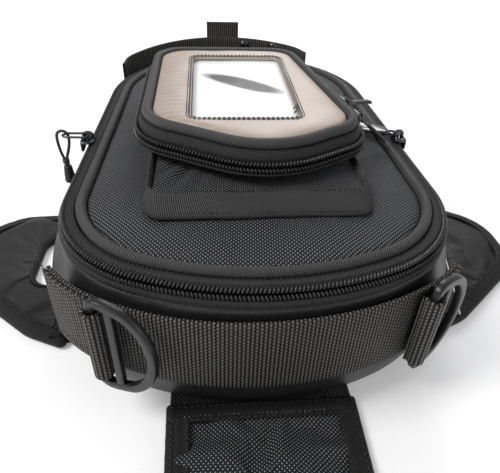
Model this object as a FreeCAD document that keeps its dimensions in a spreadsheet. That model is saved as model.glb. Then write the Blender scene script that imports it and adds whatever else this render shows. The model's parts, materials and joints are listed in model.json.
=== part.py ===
import FreeCAD, Part
import math
import os
import Sketcher
from FreeCAD import Placement, Rotation, Vector

# Magnetic motorcycle tank bag, in millimetres.
# Frame: origin at the centre of the base's underside, +Z up, +Y towards the far (lid hinge) end,
# +X to the right. The near end, with the broad flap, points along -Y.

doc = FreeCAD.newDocument("tank_bag")

# --------------------------------------------------------------------------- driving dimensions
SIZES = [
    ("rim_half_width", 92.0, "half of the bag's width at the zip rim"),
    ("rim_front", 145.0, "origin to the near end of the rim"),
    ("rim_rear", 142.0, "origin to the far end of the rim"),
    ("rim_height", 68.0, "top edge of the side wall"),
    ("belly_half_width", 103.0, "half width where the wall bulges most"),
    ("belly_front", 147.0, "origin to the near end of the bulge"),
    ("belly_rear", 145.0, "origin to the far end of the bulge"),
    ("belly_low", 24.0, "lower height of the bulge"),
    ("belly_high", 40.0, "upper height of the bulge"),
    ("base_half_width", 95.0, "half width of the base"),
    ("base_front", 138.0, "origin to the near end of the base"),
    ("base_rear", 138.0, "origin to the far end of the base"),
    ("base_thickness", 2.2, "base panel"),
    ("board_thickness", 2.4, "stiffening board over the base panel"),
    ("front_curve", 140.0, "radius of the near end in plan"),
    ("corner_curve", 62.0, "radius of the near corners in plan"),
    ("rear_curve", 88.0, "radius of the far end in plan"),
    ("wall_leather", 1.6, "side wall leather"),
    ("wall_foam", 4.0, "side wall padding"),
    ("wall_lining", 0.8, "side wall lining"),
    ("webbing_width", 38.0, "webbing of the straps"),
    ("webbing_thickness", 1.8, "webbing thickness"),
    ("front_strap_low", 26.0, "lower edge of the front strap"),
    ("rear_strap_low", 46.0, "lower edge of the rear strap"),
    ("rear_strap_gap", 7.6, "rear strap's stand-off from the rim"),
    ("coil_width", 2.4, "one row of zip coil"),
    ("coil_height", 2.4, "height of one row of zip coil"),
    ("piping_width", 5.3, "fabric piping of the lid"),
    ("piping_height", 4.8, "height of the lid's piping"),
    ("lid_bottom", 74.0, "underside of the lid"),
    ("pocket_left", 60.0, "origin to the pocket's left side"),
    ("pocket_rear", 62.0, "origin to the pocket's far side"),
    ("tray_left", 51.0, "origin to the tray's left side"),
    ("tray_right", 52.0, "origin to the tray's right side"),
    ("tray_front", 87.0, "origin to the line from which the tray's near side stands out"),
    ("tray_rear", 58.0, "origin to the tray's far side"),
    ("tray_corner", 9.0, "tray corner radius"),
    ("pocket_base", 81.4, "underside of the pocket's tray"),
    ("tray_depth", 6.2, "height of the pocket's tray"),
    ("tray_reach", 15.6, "how far the tray's foot stands out"),
    ("lip_reach", 5.4, "how far the tray's lip stands out"),
    ("recess_inset", 12.0, "recessed gusset, inside the pocket's outline"),
    ("recess_top", 91.9, "top of the recessed gusset"),
    ("pocket_panel_thickness", 1.8, "panel round the window"),
    ("window_left", 29.0, "origin to the window's left side"),
    ("window_right", 21.0, "origin to the window's right side"),
    ("window_front", 56.0, "origin to the window's near side"),
    ("window_rear", 34.0, "origin to the window's far side"),
    ("wing_height", 6.0, "thickness of a padded side wing"),
    ("wing_root", 97.6, "origin to a wing's hinge line"),
    ("wing_reach", 172.0, "origin to a wing's tip"),
    ("flap_half_width", 44.0, "half width of the near flap"),
    ("flap_root", 140.6, "origin to the near flap's hinge line"),
    ("flap_reach", 228.0, "origin to the near flap's end"),
    ("flap_height", 5.2, "thickness of the near flap"),
    ("binding_width", 2.4, "edge binding, seen from above"),
    ("cover_thickness", 1.3, "cover sheets of wings and flap"),
    ("magnet_radius", 8.0, "disc magnets of the wings"),
    ("flap_magnet_radius", 12.0, "disc magnets of the near flap"),
    ("magnet_thickness", 2.0, "disc magnets"),
    ("ring_half_height", 25.5, "half the outer height of a D-ring"),
    ("ring_slot_half", 20.2, "half the height of a D-ring's slot"),
    ("ring_bar", 3.6, "width of a D-ring's outer bar"),
    ("ring_reach", 27.5, "outer bar's axis to the top of the D"),
    ("ring_thickness", 4.0, "D-ring thickness"),
    ("ring_stand_off", 8.0, "D-ring bar's axis from the bulge of the wall"),
    ("slider_length", 11.0, "zip slider, along the zip"),
    ("pull_length", 14.0, "metal wire pull"),
    ("wide_pull_length", 27.0, "broad moulded puller"),
    ("wide_pull_width", 11.0, "broad moulded puller"),
    ("strap_pull_length", 16.0, "narrow strap puller"),
    ("strap_pull_width", 3.6, "narrow strap puller"),
    ("tab_left", 21.0, "origin to the rear tab's left side"),
    ("tab_right", 5.0, "origin to the rear tab's right side"),
    ("tab_top", 99.0, "top of the rear tab"),
    ("tag_length", 66.0, "card tag"),
    ("tag_width", 17.0, "card tag"),
    ("tag_thickness", 1.1, "card tag"),
]
sheet = doc.addObject("Spreadsheet::Sheet", "Sizes")
for row, (alias, value, meaning) in enumerate(SIZES, 1):
    sheet.set(f"A{row}", meaning)
    sheet.set(f"B{row}", str(value))
    sheet.setAlias(f"B{row}", alias)
doc.recompute()


def size(alias):
    """The value of one cell of the sheet."""
    return float(sheet.get(alias))


nodes = []


def keep(label, thing):
    """Name a finished sub-part and list it for writing."""
    thing.Label = label
    nodes.append(thing)
    return thing


# --------------------------------------------------------------------------- outlines in plan
def arc(centre, radius, start, end):
    """Arc about +Z from angle start to angle end, in degrees."""
    circle = Part.Circle(Vector(centre[0], centre[1], 0), Vector(0, 0, 1), radius)
    return Part.ArcOfCircle(circle, math.radians(start), math.radians(end))


def segment(first, last):
    return Part.LineSegment(Vector(first[0], first[1], 0), Vector(last[0], last[1], 0))


def level_sizes(level):
    """Half width, front, rear, front radius, corner radius and rear radius of a level."""
    extra = 4.0 if level == "belly" else 0.0
    return (size(level + "_half_width"), size(level + "_front"), size(level + "_rear"),
            size("front_curve"), size("corner_curve") + extra, size("rear_curve") + extra)


def corner_centre(level):
    """Centre of the right near corner: that arc touches the front arc and the widest line."""
    half, front, _, front_r, corner_r, _ = level_sizes(level)
    x = half - corner_r
    y = front_r - front - math.sqrt((front_r - corner_r) ** 2 - x ** 2)
    return x, y


def bag_outline(level, inset=0.0):
    """Closed plan outline: front arc, near corners, straight sides and far arc."""
    half, front, rear, front_r, corner_r, rear_r = level_sizes(level)
    cx, cy = corner_centre(level)
    ry = rear - rear_r
    gap = math.hypot(cx, ry - cy)
    share = (corner_r - rear_r) / gap
    along = (-cx / gap, (ry - cy) / gap)
    across = (along[1], -along[0])
    normal = [share * along[i] + math.sqrt(1 - share ** 2) * across[i] for i in (0, 1)]
    side = math.degrees(math.atan2(normal[1], normal[0]))
    meet = math.degrees(math.atan2(cy - (front_r - front), cx))
    front_r, corner_r, rear_r = front_r - inset, corner_r - inset, rear_r - inset
    low = (cx + corner_r * normal[0], cy + corner_r * normal[1])
    high = (rear_r * normal[0], ry + rear_r * normal[1])
    front_centre = (0, level_sizes(level)[3] - front)
    return [arc(front_centre, front_r, -180 - meet, meet),
            arc((cx, cy), corner_r, meet, side),
            segment(low, high),
            arc((0, ry), rear_r, side, 180 - side),
            segment((-high[0], high[1]), (-low[0], low[1])),
            arc((-cx, cy), corner_r, 180 - side, 180 - meet)]


def rounded(points, radii):
    """Closed outline through straight runs whose corners are rounded by the radii."""
    count = len(points)
    joints = []
    for i, here in enumerate(points):
        before, after = points[i - 1], points[(i + 1) % count]
        u = Vector(before[0] - here[0], before[1] - here[1], 0).normalize()
        v = Vector(after[0] - here[0], after[1] - here[1], 0).normalize()
        half_angle = u.getAngle(v) / 2
        reach = radii[i] / math.tan(half_angle)
        corner = Vector(here[0], here[1], 0)
        middle = (u + v).normalize() * (radii[i] / math.sin(half_angle) - radii[i])
        joints.append((corner + u * reach, corner + middle, corner + v * reach))
    edges = []
    for i, (start, middle, end) in enumerate(joints):
        edges.append(Part.Arc(start, middle, end))
        edges.append(Part.LineSegment(end, joints[(i + 1) % count][0]))
    return edges


def box_outline(left, right, front, rear, radius):
    points = [(left, front), (right, front), (right, rear), (left, rear)]
    return rounded(points, [radius] * 4)


def shrink(points, inset):
    """Corners of a convex outline whose sides all move inwards by the inset."""
    moved = []
    for i, here in enumerate(points):
        before, after = points[i - 1], points[(i + 1) % len(points)]
        u = Vector(before[0] - here[0], before[1] - here[1], 0).normalize()
        v = Vector(after[0] - here[0], after[1] - here[1], 0).normalize()
        step = (u + v).normalize() * (inset / math.sin(u.getAngle(v) / 2))
        moved.append((here[0] + step.x, here[1] + step.y))
    return moved


# The pocket's near side is bowed and its right side slants inwards to the far end.
POCKET_CORNERS = [(5.0, -95.0), (59.5, -63.0), (38.5, size("pocket_rear")),
                  (-size("pocket_left"), size("pocket_rear")), (-size("pocket_left"), -58.0)]
POCKET_RADII = [48.0, 25.0, 24.0, 24.0, 32.0]


def pocket_outline(inset=0.0):
    """Plan of the pocket's zip, moved inwards by the inset."""
    return rounded(shrink(POCKET_CORNERS, inset), [max(radius - inset, 3.0) for radius in POCKET_RADII])


# --------------------------------------------------------------------------- building helpers
def origin_plane(body, role):
    return next(item for item in body.Origin.OriginFeatures if item.Role == role)


def add_sketch(body, name, loops, role="XY_Plane"):
    sketch = body.newObject("Sketcher::SketchObject", name)
    sketch.AttachmentSupport = [(origin_plane(body, role), "")]
    sketch.MapMode = "FlatFace"
    for loop in loops:
        sketch.addGeometry(list(loop), False)
    return sketch


def pad_body(name, loops, height, bottom=None, role="XY_Plane", middle=False):
    """PartDesign body: the loops padded by the height expression, standing at bottom."""
    body = doc.addObject("PartDesign::Body", name + "_body")
    sketch = add_sketch(body, name + "_sketch", loops, role)
    pad = body.newObject("PartDesign::Pad", name + "_pad")
    pad.Profile = sketch
    pad.setExpression("Length", height)
    if middle:
        pad.SideType = "Symmetric"
    if bottom:
        body.setExpression("Placement.Base.z", bottom)
    sketch.Visibility = False
    return body


def primitive(kind, name, expressions, position=(0, 0, 0), turn=0.0):
    """Part primitive whose sizes are expressions, placed and turned about +Z."""
    thing = doc.addObject("Part::" + kind, name)
    for prop, text in expressions.items():
        thing.setExpression(prop, text)
    thing.Placement = Placement(Vector(*position), Rotation(Vector(0, 0, 1), turn))
    return thing


def boolean(kind, name, *shapes):
    """Part::Cut or Part::Common of two things, or Part::MultiFuse of several."""
    thing = doc.addObject("Part::" + kind, name)
    if kind == "MultiFuse":
        thing.Shapes = list(shapes)
    else:
        thing.Base, thing.Tool = shapes
    return thing


def zone(name, left, right, front, rear, low=-20.0, high=260.0):
    """Box that keeps or removes one region of a band."""
    thing = doc.addObject("Part::Box", name)
    thing.Length, thing.Width, thing.Height = right - left, rear - front, high - low
    thing.Placement = Placement(Vector(left, front, low), Rotation())
    return thing


def band(name, level, inset, width, height, bottom):
    """Level ring that follows the bag's outline, width wide from the inset inwards."""
    loops = [bag_outline(level, inset), bag_outline(level, inset + width)]
    return pad_body(name, loops, height, bottom)


def wall_loft(name, inset):
    """Solid hull of the bag at an inset: base, two bulge levels and rim, joined straight."""
    sections = []
    for level, height in (("base", "base_thickness"), ("belly", "belly_low"),
                          ("belly", "belly_high"), ("rim", "rim_height")):
        sketch = doc.addObject("Sketcher::SketchObject", f"{name}_{height}")
        sketch.addGeometry(bag_outline(level, inset), False)
        sketch.setExpression("Placement.Base.z", "Sizes." + height)
        sections.append(sketch)
    loft = doc.addObject("Part::Loft", name)
    loft.Sections = sections
    loft.Solid = True
    loft.Ruled = True
    return loft


# --------------------------------------------------------------------------- body of the bag
leather, foam, lining = size("wall_leather"), size("wall_foam"), size("wall_lining")
hulls = [wall_loft(f"hull_{i}", inset) for i, inset in
         enumerate((0.0, leather, leather + foam, leather + foam + lining))]
keep("body_wall", boolean("Cut", "wall_cut", hulls[0], hulls[1]))
keep("wall_padding", boolean("Cut", "padding_cut", hulls[1], hulls[2]))
keep("wall_lining", boolean("Cut", "lining_cut", hulls[2], hulls[3]))
keep("base_panel", pad_body("base", [bag_outline("base")], "Sizes.base_thickness"))
keep("base_board", pad_body("board", [bag_outline("base", leather + foam + lining + 0.4)],
                            "Sizes.board_thickness", "Sizes.base_thickness"))

# --------------------------------------------------------------------------- straps round the body
FRONT_STRAP_END = -98.0
LEFT_STRAP_END = -110.0
REAR_STRAP_END = 92.0
RIGHT_STRAP_END = 118.0
webbing = size("webbing_thickness")
front_ring = band("front_ring", "belly", -0.4 - webbing, webbing, "Sizes.webbing_width",
                  "Sizes.front_strap_low")
front_whole = boolean("Common", "front_strap_common", front_ring,
                      zone("front_zone", -150, 150, -200, FRONT_STRAP_END))
keep("front_strap", boolean("Cut", "front_strap_cut", front_whole,
                            zone("front_zone_left", -150, 0, LEFT_STRAP_END, FRONT_STRAP_END + 5)))
rear_ring = band("rear_ring", "rim", -size("rear_strap_gap") - webbing, webbing,
                 "Sizes.webbing_width", "Sizes.rear_strap_low")
rear_whole = boolean("Common", "rear_strap_common", rear_ring,
                     zone("rear_zone", -150, 150, REAR_STRAP_END, 200))
keep("rear_strap", boolean("Cut", "rear_strap_cut", rear_whole,
                           zone("rear_zone_right", 10, 150, REAR_STRAP_END - 5, RIGHT_STRAP_END)))

# --------------------------------------------------------------------------- D-rings and their loops
RING_ANGLE = -64.5         # place of a bar round the right near corner
LEFT_RING_TURN = -25.7     # left D lies towards the middle of the strap
RIGHT_RING_TURN = 36.0     # right D is folded back towards the wing
ring_x, ring_y = corner_centre("belly")
ring_radius = level_sizes("belly")[4] + size("ring_stand_off")
ring_x += ring_radius * math.cos(math.radians(RING_ANGLE))
ring_y += ring_radius * math.sin(math.radians(RING_ANGLE))
ring_height = size("front_strap_low") + size("webbing_width") / 2


def flat_arc(x, half, reach):
    """Arc from (x, -half) through (reach, 0) to (x, half)."""
    return Part.Arc(Vector(x, -half, 0), Vector(reach, 0, 0), Vector(x, half, 0))


def d_ring(name, sign, turn):
    """Flat D: outer bar, slot for the webbing, crossbar and the D's arc."""
    bar, half, slot = size("ring_bar") / 2, size("ring_half_height"), size("ring_slot_half")
    reach = size("ring_reach")
    cross_near, cross_far = bar + 4.4, bar + 8.6
    outer = [segment((-bar, -half), (8, -half)), flat_arc(8, half, reach),
             segment((8, half), (-bar, half)), segment((-bar, half), (-bar, -half))]
    gap = [segment((bar, -slot), (cross_near, -slot)), segment((cross_near, -slot), (cross_near, slot)),
           segment((cross_near, slot), (bar, slot)), segment((bar, slot), (bar, -slot))]
    eye = [flat_arc(cross_far, slot, reach - 4.2), segment((cross_far, slot), (cross_far, -slot))]
    body = pad_body(name, [outer, gap, eye], "Sizes.ring_thickness", role="XZ_Plane", middle=True)
    body.Placement = Placement(Vector(sign * ring_x, ring_y, ring_height),
                               Rotation(Vector(0, 0, 1), turn))
    return keep(name, body)


def ring_loop(name, sign):
    """Webbing patch on the wall whose end is folded round the D-ring's bar."""
    ring = band(name + "_ring", "belly", -0.4 - 2 * webbing - 0.3, webbing, "Sizes.webbing_width",
                "Sizes.front_strap_low")
    left, right = sorted((sign * (ring_x - 6.5), sign * 150))
    patch = boolean("Common", name + "_patch", ring,
                    zone(name + "_zone", left, right, ring_y + 1.0,
                         LEFT_STRAP_END if sign < 0 else FRONT_STRAP_END))
    outside = primitive("Cylinder", name + "_outside", {"Height": "Sizes.webbing_width"},
                        (sign * ring_x, ring_y, size("front_strap_low")))
    outside.Radius = 4.15
    inside = primitive("Cylinder", name + "_inside", {"Height": "Sizes.webbing_width"},
                       (sign * ring_x, ring_y, size("front_strap_low")))
    inside.Radius = 2.9
    tube = boolean("Cut", name + "_tube", outside, inside)
    whole = boolean("MultiFuse", name + "_fuse", patch, tube)
    return keep(name, boolean("Cut", name + "_cut", whole, doc.copyObject(inside)))


d_ring("d_ring_left", -1, LEFT_RING_TURN)
d_ring("d_ring_right", 1, RIGHT_RING_TURN)
ring_loop("ring_loop_left", -1)
ring_loop("ring_loop_right", 1)

# --------------------------------------------------------------------------- main zip and lid
ZIP_END = 104.0                                      # the zip stops here and the hinge band begins
coil = size("coil_width")
keep("zip_lower_tape", boolean("Common", "lower_tape_common",
                               pad_body("lower_tape", [bag_outline("rim", 0.2), bag_outline("rim", 1.8)],
                                        "3.3", "Sizes.rim_height"),
                               zone("lower_tape_zone", -150, 150, -200, ZIP_END)))
keep("zip_lower_coil", boolean("Common", "lower_coil_common",
                               band("lower_coil", "rim", 0.8, coil, "Sizes.coil_height",
                                    "Sizes.rim_height + 3.5"),
                               zone("lower_coil_zone", -150, 150, -200, ZIP_END)))
keep("hinge_band", boolean("Common", "hinge_band_common",
                           pad_body("hinge_ring", [bag_outline("rim", 0.2), bag_outline("rim", 1.4)],
                                    "5.6", "Sizes.rim_height"),
                           zone("hinge_zone", -150, 150, ZIP_END + 0.5, 200)))
keep("zip_upper_coil", boolean("Common", "upper_coil_common",
                               band("upper_coil", "rim", 2.6, coil, "Sizes.coil_height",
                                    "Sizes.lid_bottom + 0.2"),
                               zone("upper_coil_zone", -150, 150, -200, ZIP_END)))
keep("zip_upper_tape", band("upper_tape", "rim", 5.2, 3.0, "1.2", "Sizes.lid_bottom + 1.4"))
PIPING_INSET = 8.6
lid_inset = PIPING_INSET + size("piping_width") + 0.1
keep("lid_piping", band("lid_piping", "rim", PIPING_INSET, size("piping_width"), "Sizes.piping_height",
                        "Sizes.lid_bottom + 0.6"))
keep("lid_lining", pad_body("lid_lining", [bag_outline("rim", lid_inset)], "0.8", "Sizes.lid_bottom"))


def dome(name, bottom):
    """Low dome of the lid from its edge up to the flat under the pocket."""
    sections = []
    for i, (inset, rise) in enumerate(((0.0, 0.0), (0.6, 2.4), (18.0, 4.9), (32.0, 5.6))):
        sketch = doc.addObject("Sketcher::SketchObject", f"{name}_{i}")
        sketch.addGeometry(bag_outline("rim", lid_inset + inset), False)
        sketch.setExpression("Placement.Base.z", f"Sizes.lid_bottom + {bottom + rise}")
        sections.append(sketch)
    loft = doc.addObject("Part::Loft", name)
    loft.Sections = sections
    loft.Solid = True
    loft.Ruled = True
    return loft


upper_dome, lower_dome = dome("upper_dome", 0.8), dome("lower_dome", -0.6)
lid_slab = zone("lid_slab", -150, 150, -200, 200, size("lid_bottom") + 0.8, size("lid_bottom") + 20)
keep("lid_padding", boolean("Common", "lid_padding_common", lower_dome, lid_slab))
keep("lid_panel", boolean("Cut", "lid_panel_cut", upper_dome, doc.copyObject(lower_dome)))

# --------------------------------------------------------------------------- pocket on the lid
def tray_loop(reach, inset=0.0):
    """Plan of the tray, whose near side stands out by the reach."""
    return box_outline(inset - size("tray_left"), size("tray_right") - inset,
                       inset - size("tray_front") - reach, size("tray_rear") - inset,
                       size("tray_corner") - inset)


tray_sections = []
for name, reach, height in (("foot", "tray_reach", "Sizes.pocket_base"),
                            ("lip", "lip_reach", "Sizes.pocket_base + Sizes.tray_depth")):
    sketch = doc.addObject("Sketcher::SketchObject", "tray_" + name)
    sketch.addGeometry(tray_loop(size(reach)), False)
    sketch.setExpression("Placement.Base.z", height)
    tray_sections.append(sketch)
tray_block = doc.addObject("Part::Loft", "tray_block")
tray_block.Sections = tray_sections
tray_block.Solid = True
tray_block.Ruled = True
tray_room = pad_body("tray_room", [tray_loop(size("lip_reach"), 2.2)], "Sizes.tray_depth",
                     "Sizes.pocket_base + 1.4")
keep("pocket_tray", boolean("Cut", "tray_cut", tray_block, tray_room))
recess_inset = size("recess_inset")
keep("pocket_recess", pad_body("recess", [pocket_outline(recess_inset), pocket_outline(recess_inset + 2)],
                               "Sizes.recess_top - Sizes.pocket_base - 1.6", "Sizes.pocket_base + 1.6"))
recess_top = size("recess_top")
keep("pocket_lower_tape", pad_body("pocket_lower_tape",
                                   [pocket_outline(0.3), pocket_outline(recess_inset + 2)],
                                   "1.2", "Sizes.recess_top"))
keep("pocket_lower_coil", pad_body("pocket_lower_coil", [pocket_outline(0.2), pocket_outline(2.6)],
                                   "Sizes.coil_height", "Sizes.recess_top + 1.4"))
pocket_split = recess_top + 1.4 + size("coil_height") + 0.4
keep("pocket_upper_coil", pad_body("pocket_upper_coil", [pocket_outline(1.2), pocket_outline(3.6)],
                                   "Sizes.coil_height", f"{pocket_split}"))
keep("pocket_upper_tape", pad_body("pocket_upper_tape", [pocket_outline(3.8), pocket_outline(7.2)],
                                   "4.9", f"{pocket_split + 0.8}"))
keep("pocket_piping", pad_body("pocket_piping", [pocket_outline(5.4), pocket_outline(10.4)],
                               "5", f"{pocket_split + 6.1}"))
panel_bottom = pocket_split + 8.9


def window_outline(margin):
    return box_outline(-size("window_left") - margin, size("window_right") + margin,
                       -size("window_front") - margin, size("window_rear") + margin, 3.0 + margin)


keep("pocket_panel", pad_body("pocket_panel", [pocket_outline(10.6), window_outline(0)],
                              "Sizes.pocket_panel_thickness", f"{panel_bottom}"))
panel_top = panel_bottom + size("pocket_panel_thickness")
keep("window_card", pad_body("window_card", [window_outline(4.0)], "0.8", f"{panel_bottom - 1.0}"))
keep("window_film", pad_body("window_film", [window_outline(-0.4)], "0.5", f"{panel_top - 0.6}"))
keep("window_stitching", pad_body("window_stitching", [window_outline(3.6), window_outline(2.8)],
                                  "0.4", f"{panel_top + 0.1}"))

# --------------------------------------------------------------------------- side wings
WING_POINTS = [(0.0, -104.0), (22.0, -94.0), (74.4, -50.0), (74.4, -4.0), (50.0, 12.0), (0.0, 15.0)]
WING_RADII = [3.0, 30.0, 36.0, 34.0, 24.0, 3.0]
WING_GAP = [(3.0, -60.0), (29.0, -56.0), (29.0, -14.0), (3.0, -10.0)]
WING_MAGNETS = [(47.0, -6.0), (56.0, -32.0), (41.0, -56.0), (17.0, -76.0)]


def wing_loop(sign, inset):
    """Plan of a wing: a tongue whose near edge slants back to the tip."""
    centre = (34.0, -42.0)
    root, reach = size("wing_root"), size("wing_reach") - size("wing_root")
    points = []
    for x, y in WING_POINTS:
        x = x * reach / 74.4
        span = math.hypot(x - centre[0], y - centre[1])
        share = 1 - inset * 1.25 / span
        points.append((sign * (root + centre[0] + (x - centre[0]) * share),
                       centre[1] + (y - centre[1]) * share))
    return rounded(points, [max(radius - inset, 1.0) for radius in WING_RADII])


def wing_gap(sign, outset):
    """Opening at the wing's root."""
    points = [(sign * (size("wing_root") + x + outset * (1 if x > 10 else -1) * 0.5),
               y + outset * (1 if y > -35 else -1) * 0.5) for x, y in WING_GAP]
    return rounded(points, [3.0, 11.0, 11.0, 3.0])


def padded_flap(name, loops, holes, magnets, radius, height):
    """Binding ring, base sheet, foam with magnets in blind seats, and top sheet."""
    cover = size("cover_thickness")
    keep(name + "_binding", pad_body(name + "_binding", [loops[0], loops[1]], height))
    core = [loops[2]] + holes
    keep(name + "_base", pad_body(name + "_base", core, "Sizes.cover_thickness"))
    keep(name + "_top", pad_body(name + "_top", core, "Sizes.cover_thickness",
                                 f"{height} - Sizes.cover_thickness"))
    pad = pad_body(name + "_pad", core, f"{height} - 2 * Sizes.cover_thickness - 0.1",
                   "Sizes.cover_thickness + 0.05")
    seats, discs = [], []
    for i, (x, y) in enumerate(magnets):
        seat = primitive("Cylinder", f"{name}_seat_{i}", {"Height": "Sizes.magnet_thickness + 0.3"},
                         (x, y, cover + 0.05))
        seat.setExpression("Radius", f"Sizes.{radius} + 0.2")
        disc = primitive("Cylinder", f"{name}_disc_{i}",
                         {"Height": "Sizes.magnet_thickness", "Radius": "Sizes." + radius},
                         (x, y, cover + 0.1))
        seats.append(seat)
        discs.append(disc)
    keep(name + "_foam", boolean("Cut", name + "_foam_cut", pad,
                                 boolean("MultiFuse", name + "_seats", *seats)))
    magnets_fused = doc.addObject("Part::Compound", name + "_magnet_group")
    magnets_fused.Links = discs
    keep(name + "_magnets", magnets_fused)


binding = size("binding_width")
for side_name, sign in (("left", -1), ("right", 1)):
    insets = (0.0, binding, binding + 0.1)
    padded_flap("wing_" + side_name, [wing_loop(sign, inset) for inset in insets], [wing_gap(sign, 0)],
                [(sign * (size("wing_root") + x), y) for x, y in WING_MAGNETS],
                "magnet_radius", "Sizes.wing_height")

# --------------------------------------------------------------------------- near flap
def flap_loop(inset):
    half = size("flap_half_width") - inset
    front, root = -size("flap_reach") + inset, -size("flap_root") - inset
    points = [(-half + 2, front), (half - 2, front), (half, root), (-half, root)]
    return rounded(points, [22.0 - inset, 22.0 - inset, 1.5, 1.5])


padded_flap("flap", [flap_loop(0), flap_loop(binding), flap_loop(binding + 0.1)], [],
            [(-19.0, -164.0), (19.0, -164.0), (-19.0, -200.0), (19.0, -200.0)],
            "flap_magnet_radius", "Sizes.flap_height")

# --------------------------------------------------------------------------- zip sliders
MAIN_SLIDER_Y = -20.0
POCKET_SLIDERS_Y = (-34.0, -15.0)
side_low = bag_outline("rim")[2].StartPoint
side_high = bag_outline("rim")[2].EndPoint
side_slope = (side_low.x - side_high.x) / (side_high.y - side_low.y)
main_slider_x = side_low.x - (MAIN_SLIDER_Y - side_low.y) * side_slope
main_turn = math.degrees(math.atan(side_slope))


def polygon(points):
    """Closed loop of straight edges."""
    return [segment(a, b) for a, b in zip(points, points[1:] + points[:1])]


def rectangle(left, right, low, high):
    """Closed loop round an upright rectangle."""
    return polygon([(left, low), (right, low), (right, high), (left, high)])


def slider(name, position, turn, shell, bail, eye, bail_width):
    """Slider: a plate and skirt round the coil, and a bail whose eye takes the pull's pin."""
    body = pad_body(name, [polygon(shell)], "Sizes.slider_length", role="XZ_Plane", middle=True)
    sketch = add_sketch(body, name + "_bail_sketch", [rectangle(*bail), rectangle(*eye)], "XZ_Plane")
    pad = body.newObject("PartDesign::Pad", name + "_bail")
    pad.Profile = sketch
    pad.Length = bail_width
    pad.SideType = "Symmetric"
    body.Placement = Placement(Vector(*position), Rotation(Vector(0, 0, 1), turn))
    return keep(name, body)


slider_z = size("lid_bottom") + 3.1
main_shell = [(-5.4, 0.0), (0.4, 0.0), (0.4, -4.8), (2.0, -4.8), (2.0, 2.0), (-5.4, 2.0)]
for name, sign, turn in (("main_slider_left", -1, 180 - main_turn), ("main_slider_right", 1, main_turn)):
    slider(name, (sign * main_slider_x, MAIN_SLIDER_Y, slider_z), turn, main_shell,
           (-4.8, 0.4, 1.9, 5.8), (-3.6, -0.8, 2.2, 4.9), 1.4)
side_near, side_far = POCKET_CORNERS[1], POCKET_CORNERS[2]
pocket_slope = (side_near[0] - side_far[0]) / (side_far[1] - side_near[1])
pocket_turn = math.degrees(math.atan(pocket_slope))


def pocket_side(y):
    """Where the pocket's right side is at y."""
    return side_near[0] - (y - side_near[1]) * pocket_slope


pocket_slider_z = pocket_split + size("coil_height") + 0.5
pocket_shell = [(-3.5, 0.0), (0.8, 0.0), (0.8, -5.4), (2.4, -5.4), (2.4, 1.4), (-3.5, 1.4)]
for name, y in zip(("pocket_slider_front", "pocket_slider_rear"), POCKET_SLIDERS_Y):
    slider(name, (pocket_side(y), y, pocket_slider_z), pocket_turn, pocket_shell,
           (2.3, 6.2, -4.2, 0.4), (3.0, 5.4, -3.4, -0.4), 1.4)


# --------------------------------------------------------------------------- pulls
def wire_path(points, radius):
    """Round wire along straight runs whose corners are rounded by tangent arcs."""
    edges = []
    start = points[0]
    for before, here, after in zip(points, points[1:], points[2:]):
        u, v = (before - here).normalize(), (after - here).normalize()
        half_angle = u.getAngle(v) / 2
        bend = min((before - here).Length, (after - here).Length) * 0.45 * math.tan(half_angle)
        reach = bend / math.tan(half_angle)
        middle = here + (u + v).normalize() * (bend / math.sin(half_angle) - bend)
        edges.append(Part.LineSegment(start, here + u * reach).toShape())
        edges.append(Part.Arc(here + u * reach, middle, here + v * reach).toShape())
        start = here + v * reach
    edges.append(Part.LineSegment(start, points[-1]).toShape())
    path = Part.Wire(edges)
    tangent = (points[1] - points[0]).normalize()
    ring = Part.Wire(Part.Circle(points[0], tangent, radius).toShape())
    return path.makePipeShell([ring], True, True)


def placed(name, shape, position, turn, dip=0.0):
    """Feature with a shape of its own, dipped about Y, turned about Z and placed."""
    thing = doc.addObject("Part::Feature", name + "_feature")
    thing.Shape = shape
    aim = Rotation(Vector(0, 0, 1), turn).multiply(Rotation(Vector(0, 1, 0), dip))
    thing.Placement = Placement(Vector(*position), aim)
    return keep(name, thing)


MAIN_PIN = Vector(-2.2, 0, 3.5)                      # the pull's pin in a main slider's bail
POCKET_PIN = Vector(4.2, 0, -1.9)                    # and in a pocket slider's bail
WIRE = 0.7                                           # radius of a pull's wire
CORD = 0.9                                           # radius of the cord loop
CORD_DROP = 17.0
pull = size("pull_length")
left_pin = (-main_slider_x - MAIN_PIN.x, MAIN_SLIDER_Y, slider_z + MAIN_PIN.z)
right_pin = (main_slider_x + MAIN_PIN.x, MAIN_SLIDER_Y, slider_z + MAIN_PIN.z)


def wire_loop(length, width):
    """Points of a flat wire loop from the pin out to its pointed end and back."""
    return [Vector(0, 0, 0), Vector(0, width, 0), Vector(length - 2, width, 0), Vector(length, 0, 0),
            Vector(length - 2, -width, 0), Vector(0, -width, 0), Vector(0, -0.05, 0)]


placed("main_pull_left_wire", wire_path(wire_loop(pull, 2.6), WIRE), left_pin, 180 - main_turn)
cord_points = [Vector(pull + 0.9, 0, 2.6), Vector(pull + 3.2, 0, 0.8), Vector(pull + 3.4, 0, 4 - CORD_DROP),
               Vector(pull + 1.0, 0, -CORD_DROP), Vector(pull - 2.4, 0, 4 - CORD_DROP),
               Vector(pull - 4.0, 0, -2.4), Vector(pull - 3.2, 0, 1.8), Vector(pull + 0.3, 0, 2.65)]
placed("main_pull_left_cord", wire_path(cord_points, CORD), left_pin, 180 - main_turn)
grip_profile = polygon([(0, 0), (2.2, 0), (3.1, -3.0), (2.7, -11.0), (0, -12.0)])
grip_body = doc.addObject("PartDesign::Body", "grip_body")
grip_sketch = add_sketch(grip_body, "grip_sketch", [grip_profile], "XZ_Plane")
grip_turn = grip_body.newObject("PartDesign::Revolution", "grip_revolution")
grip_turn.Profile = grip_sketch
grip_turn.ReferenceAxis = (grip_sketch, ["V_Axis"])
grip_turn.Angle = 360.0
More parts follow.
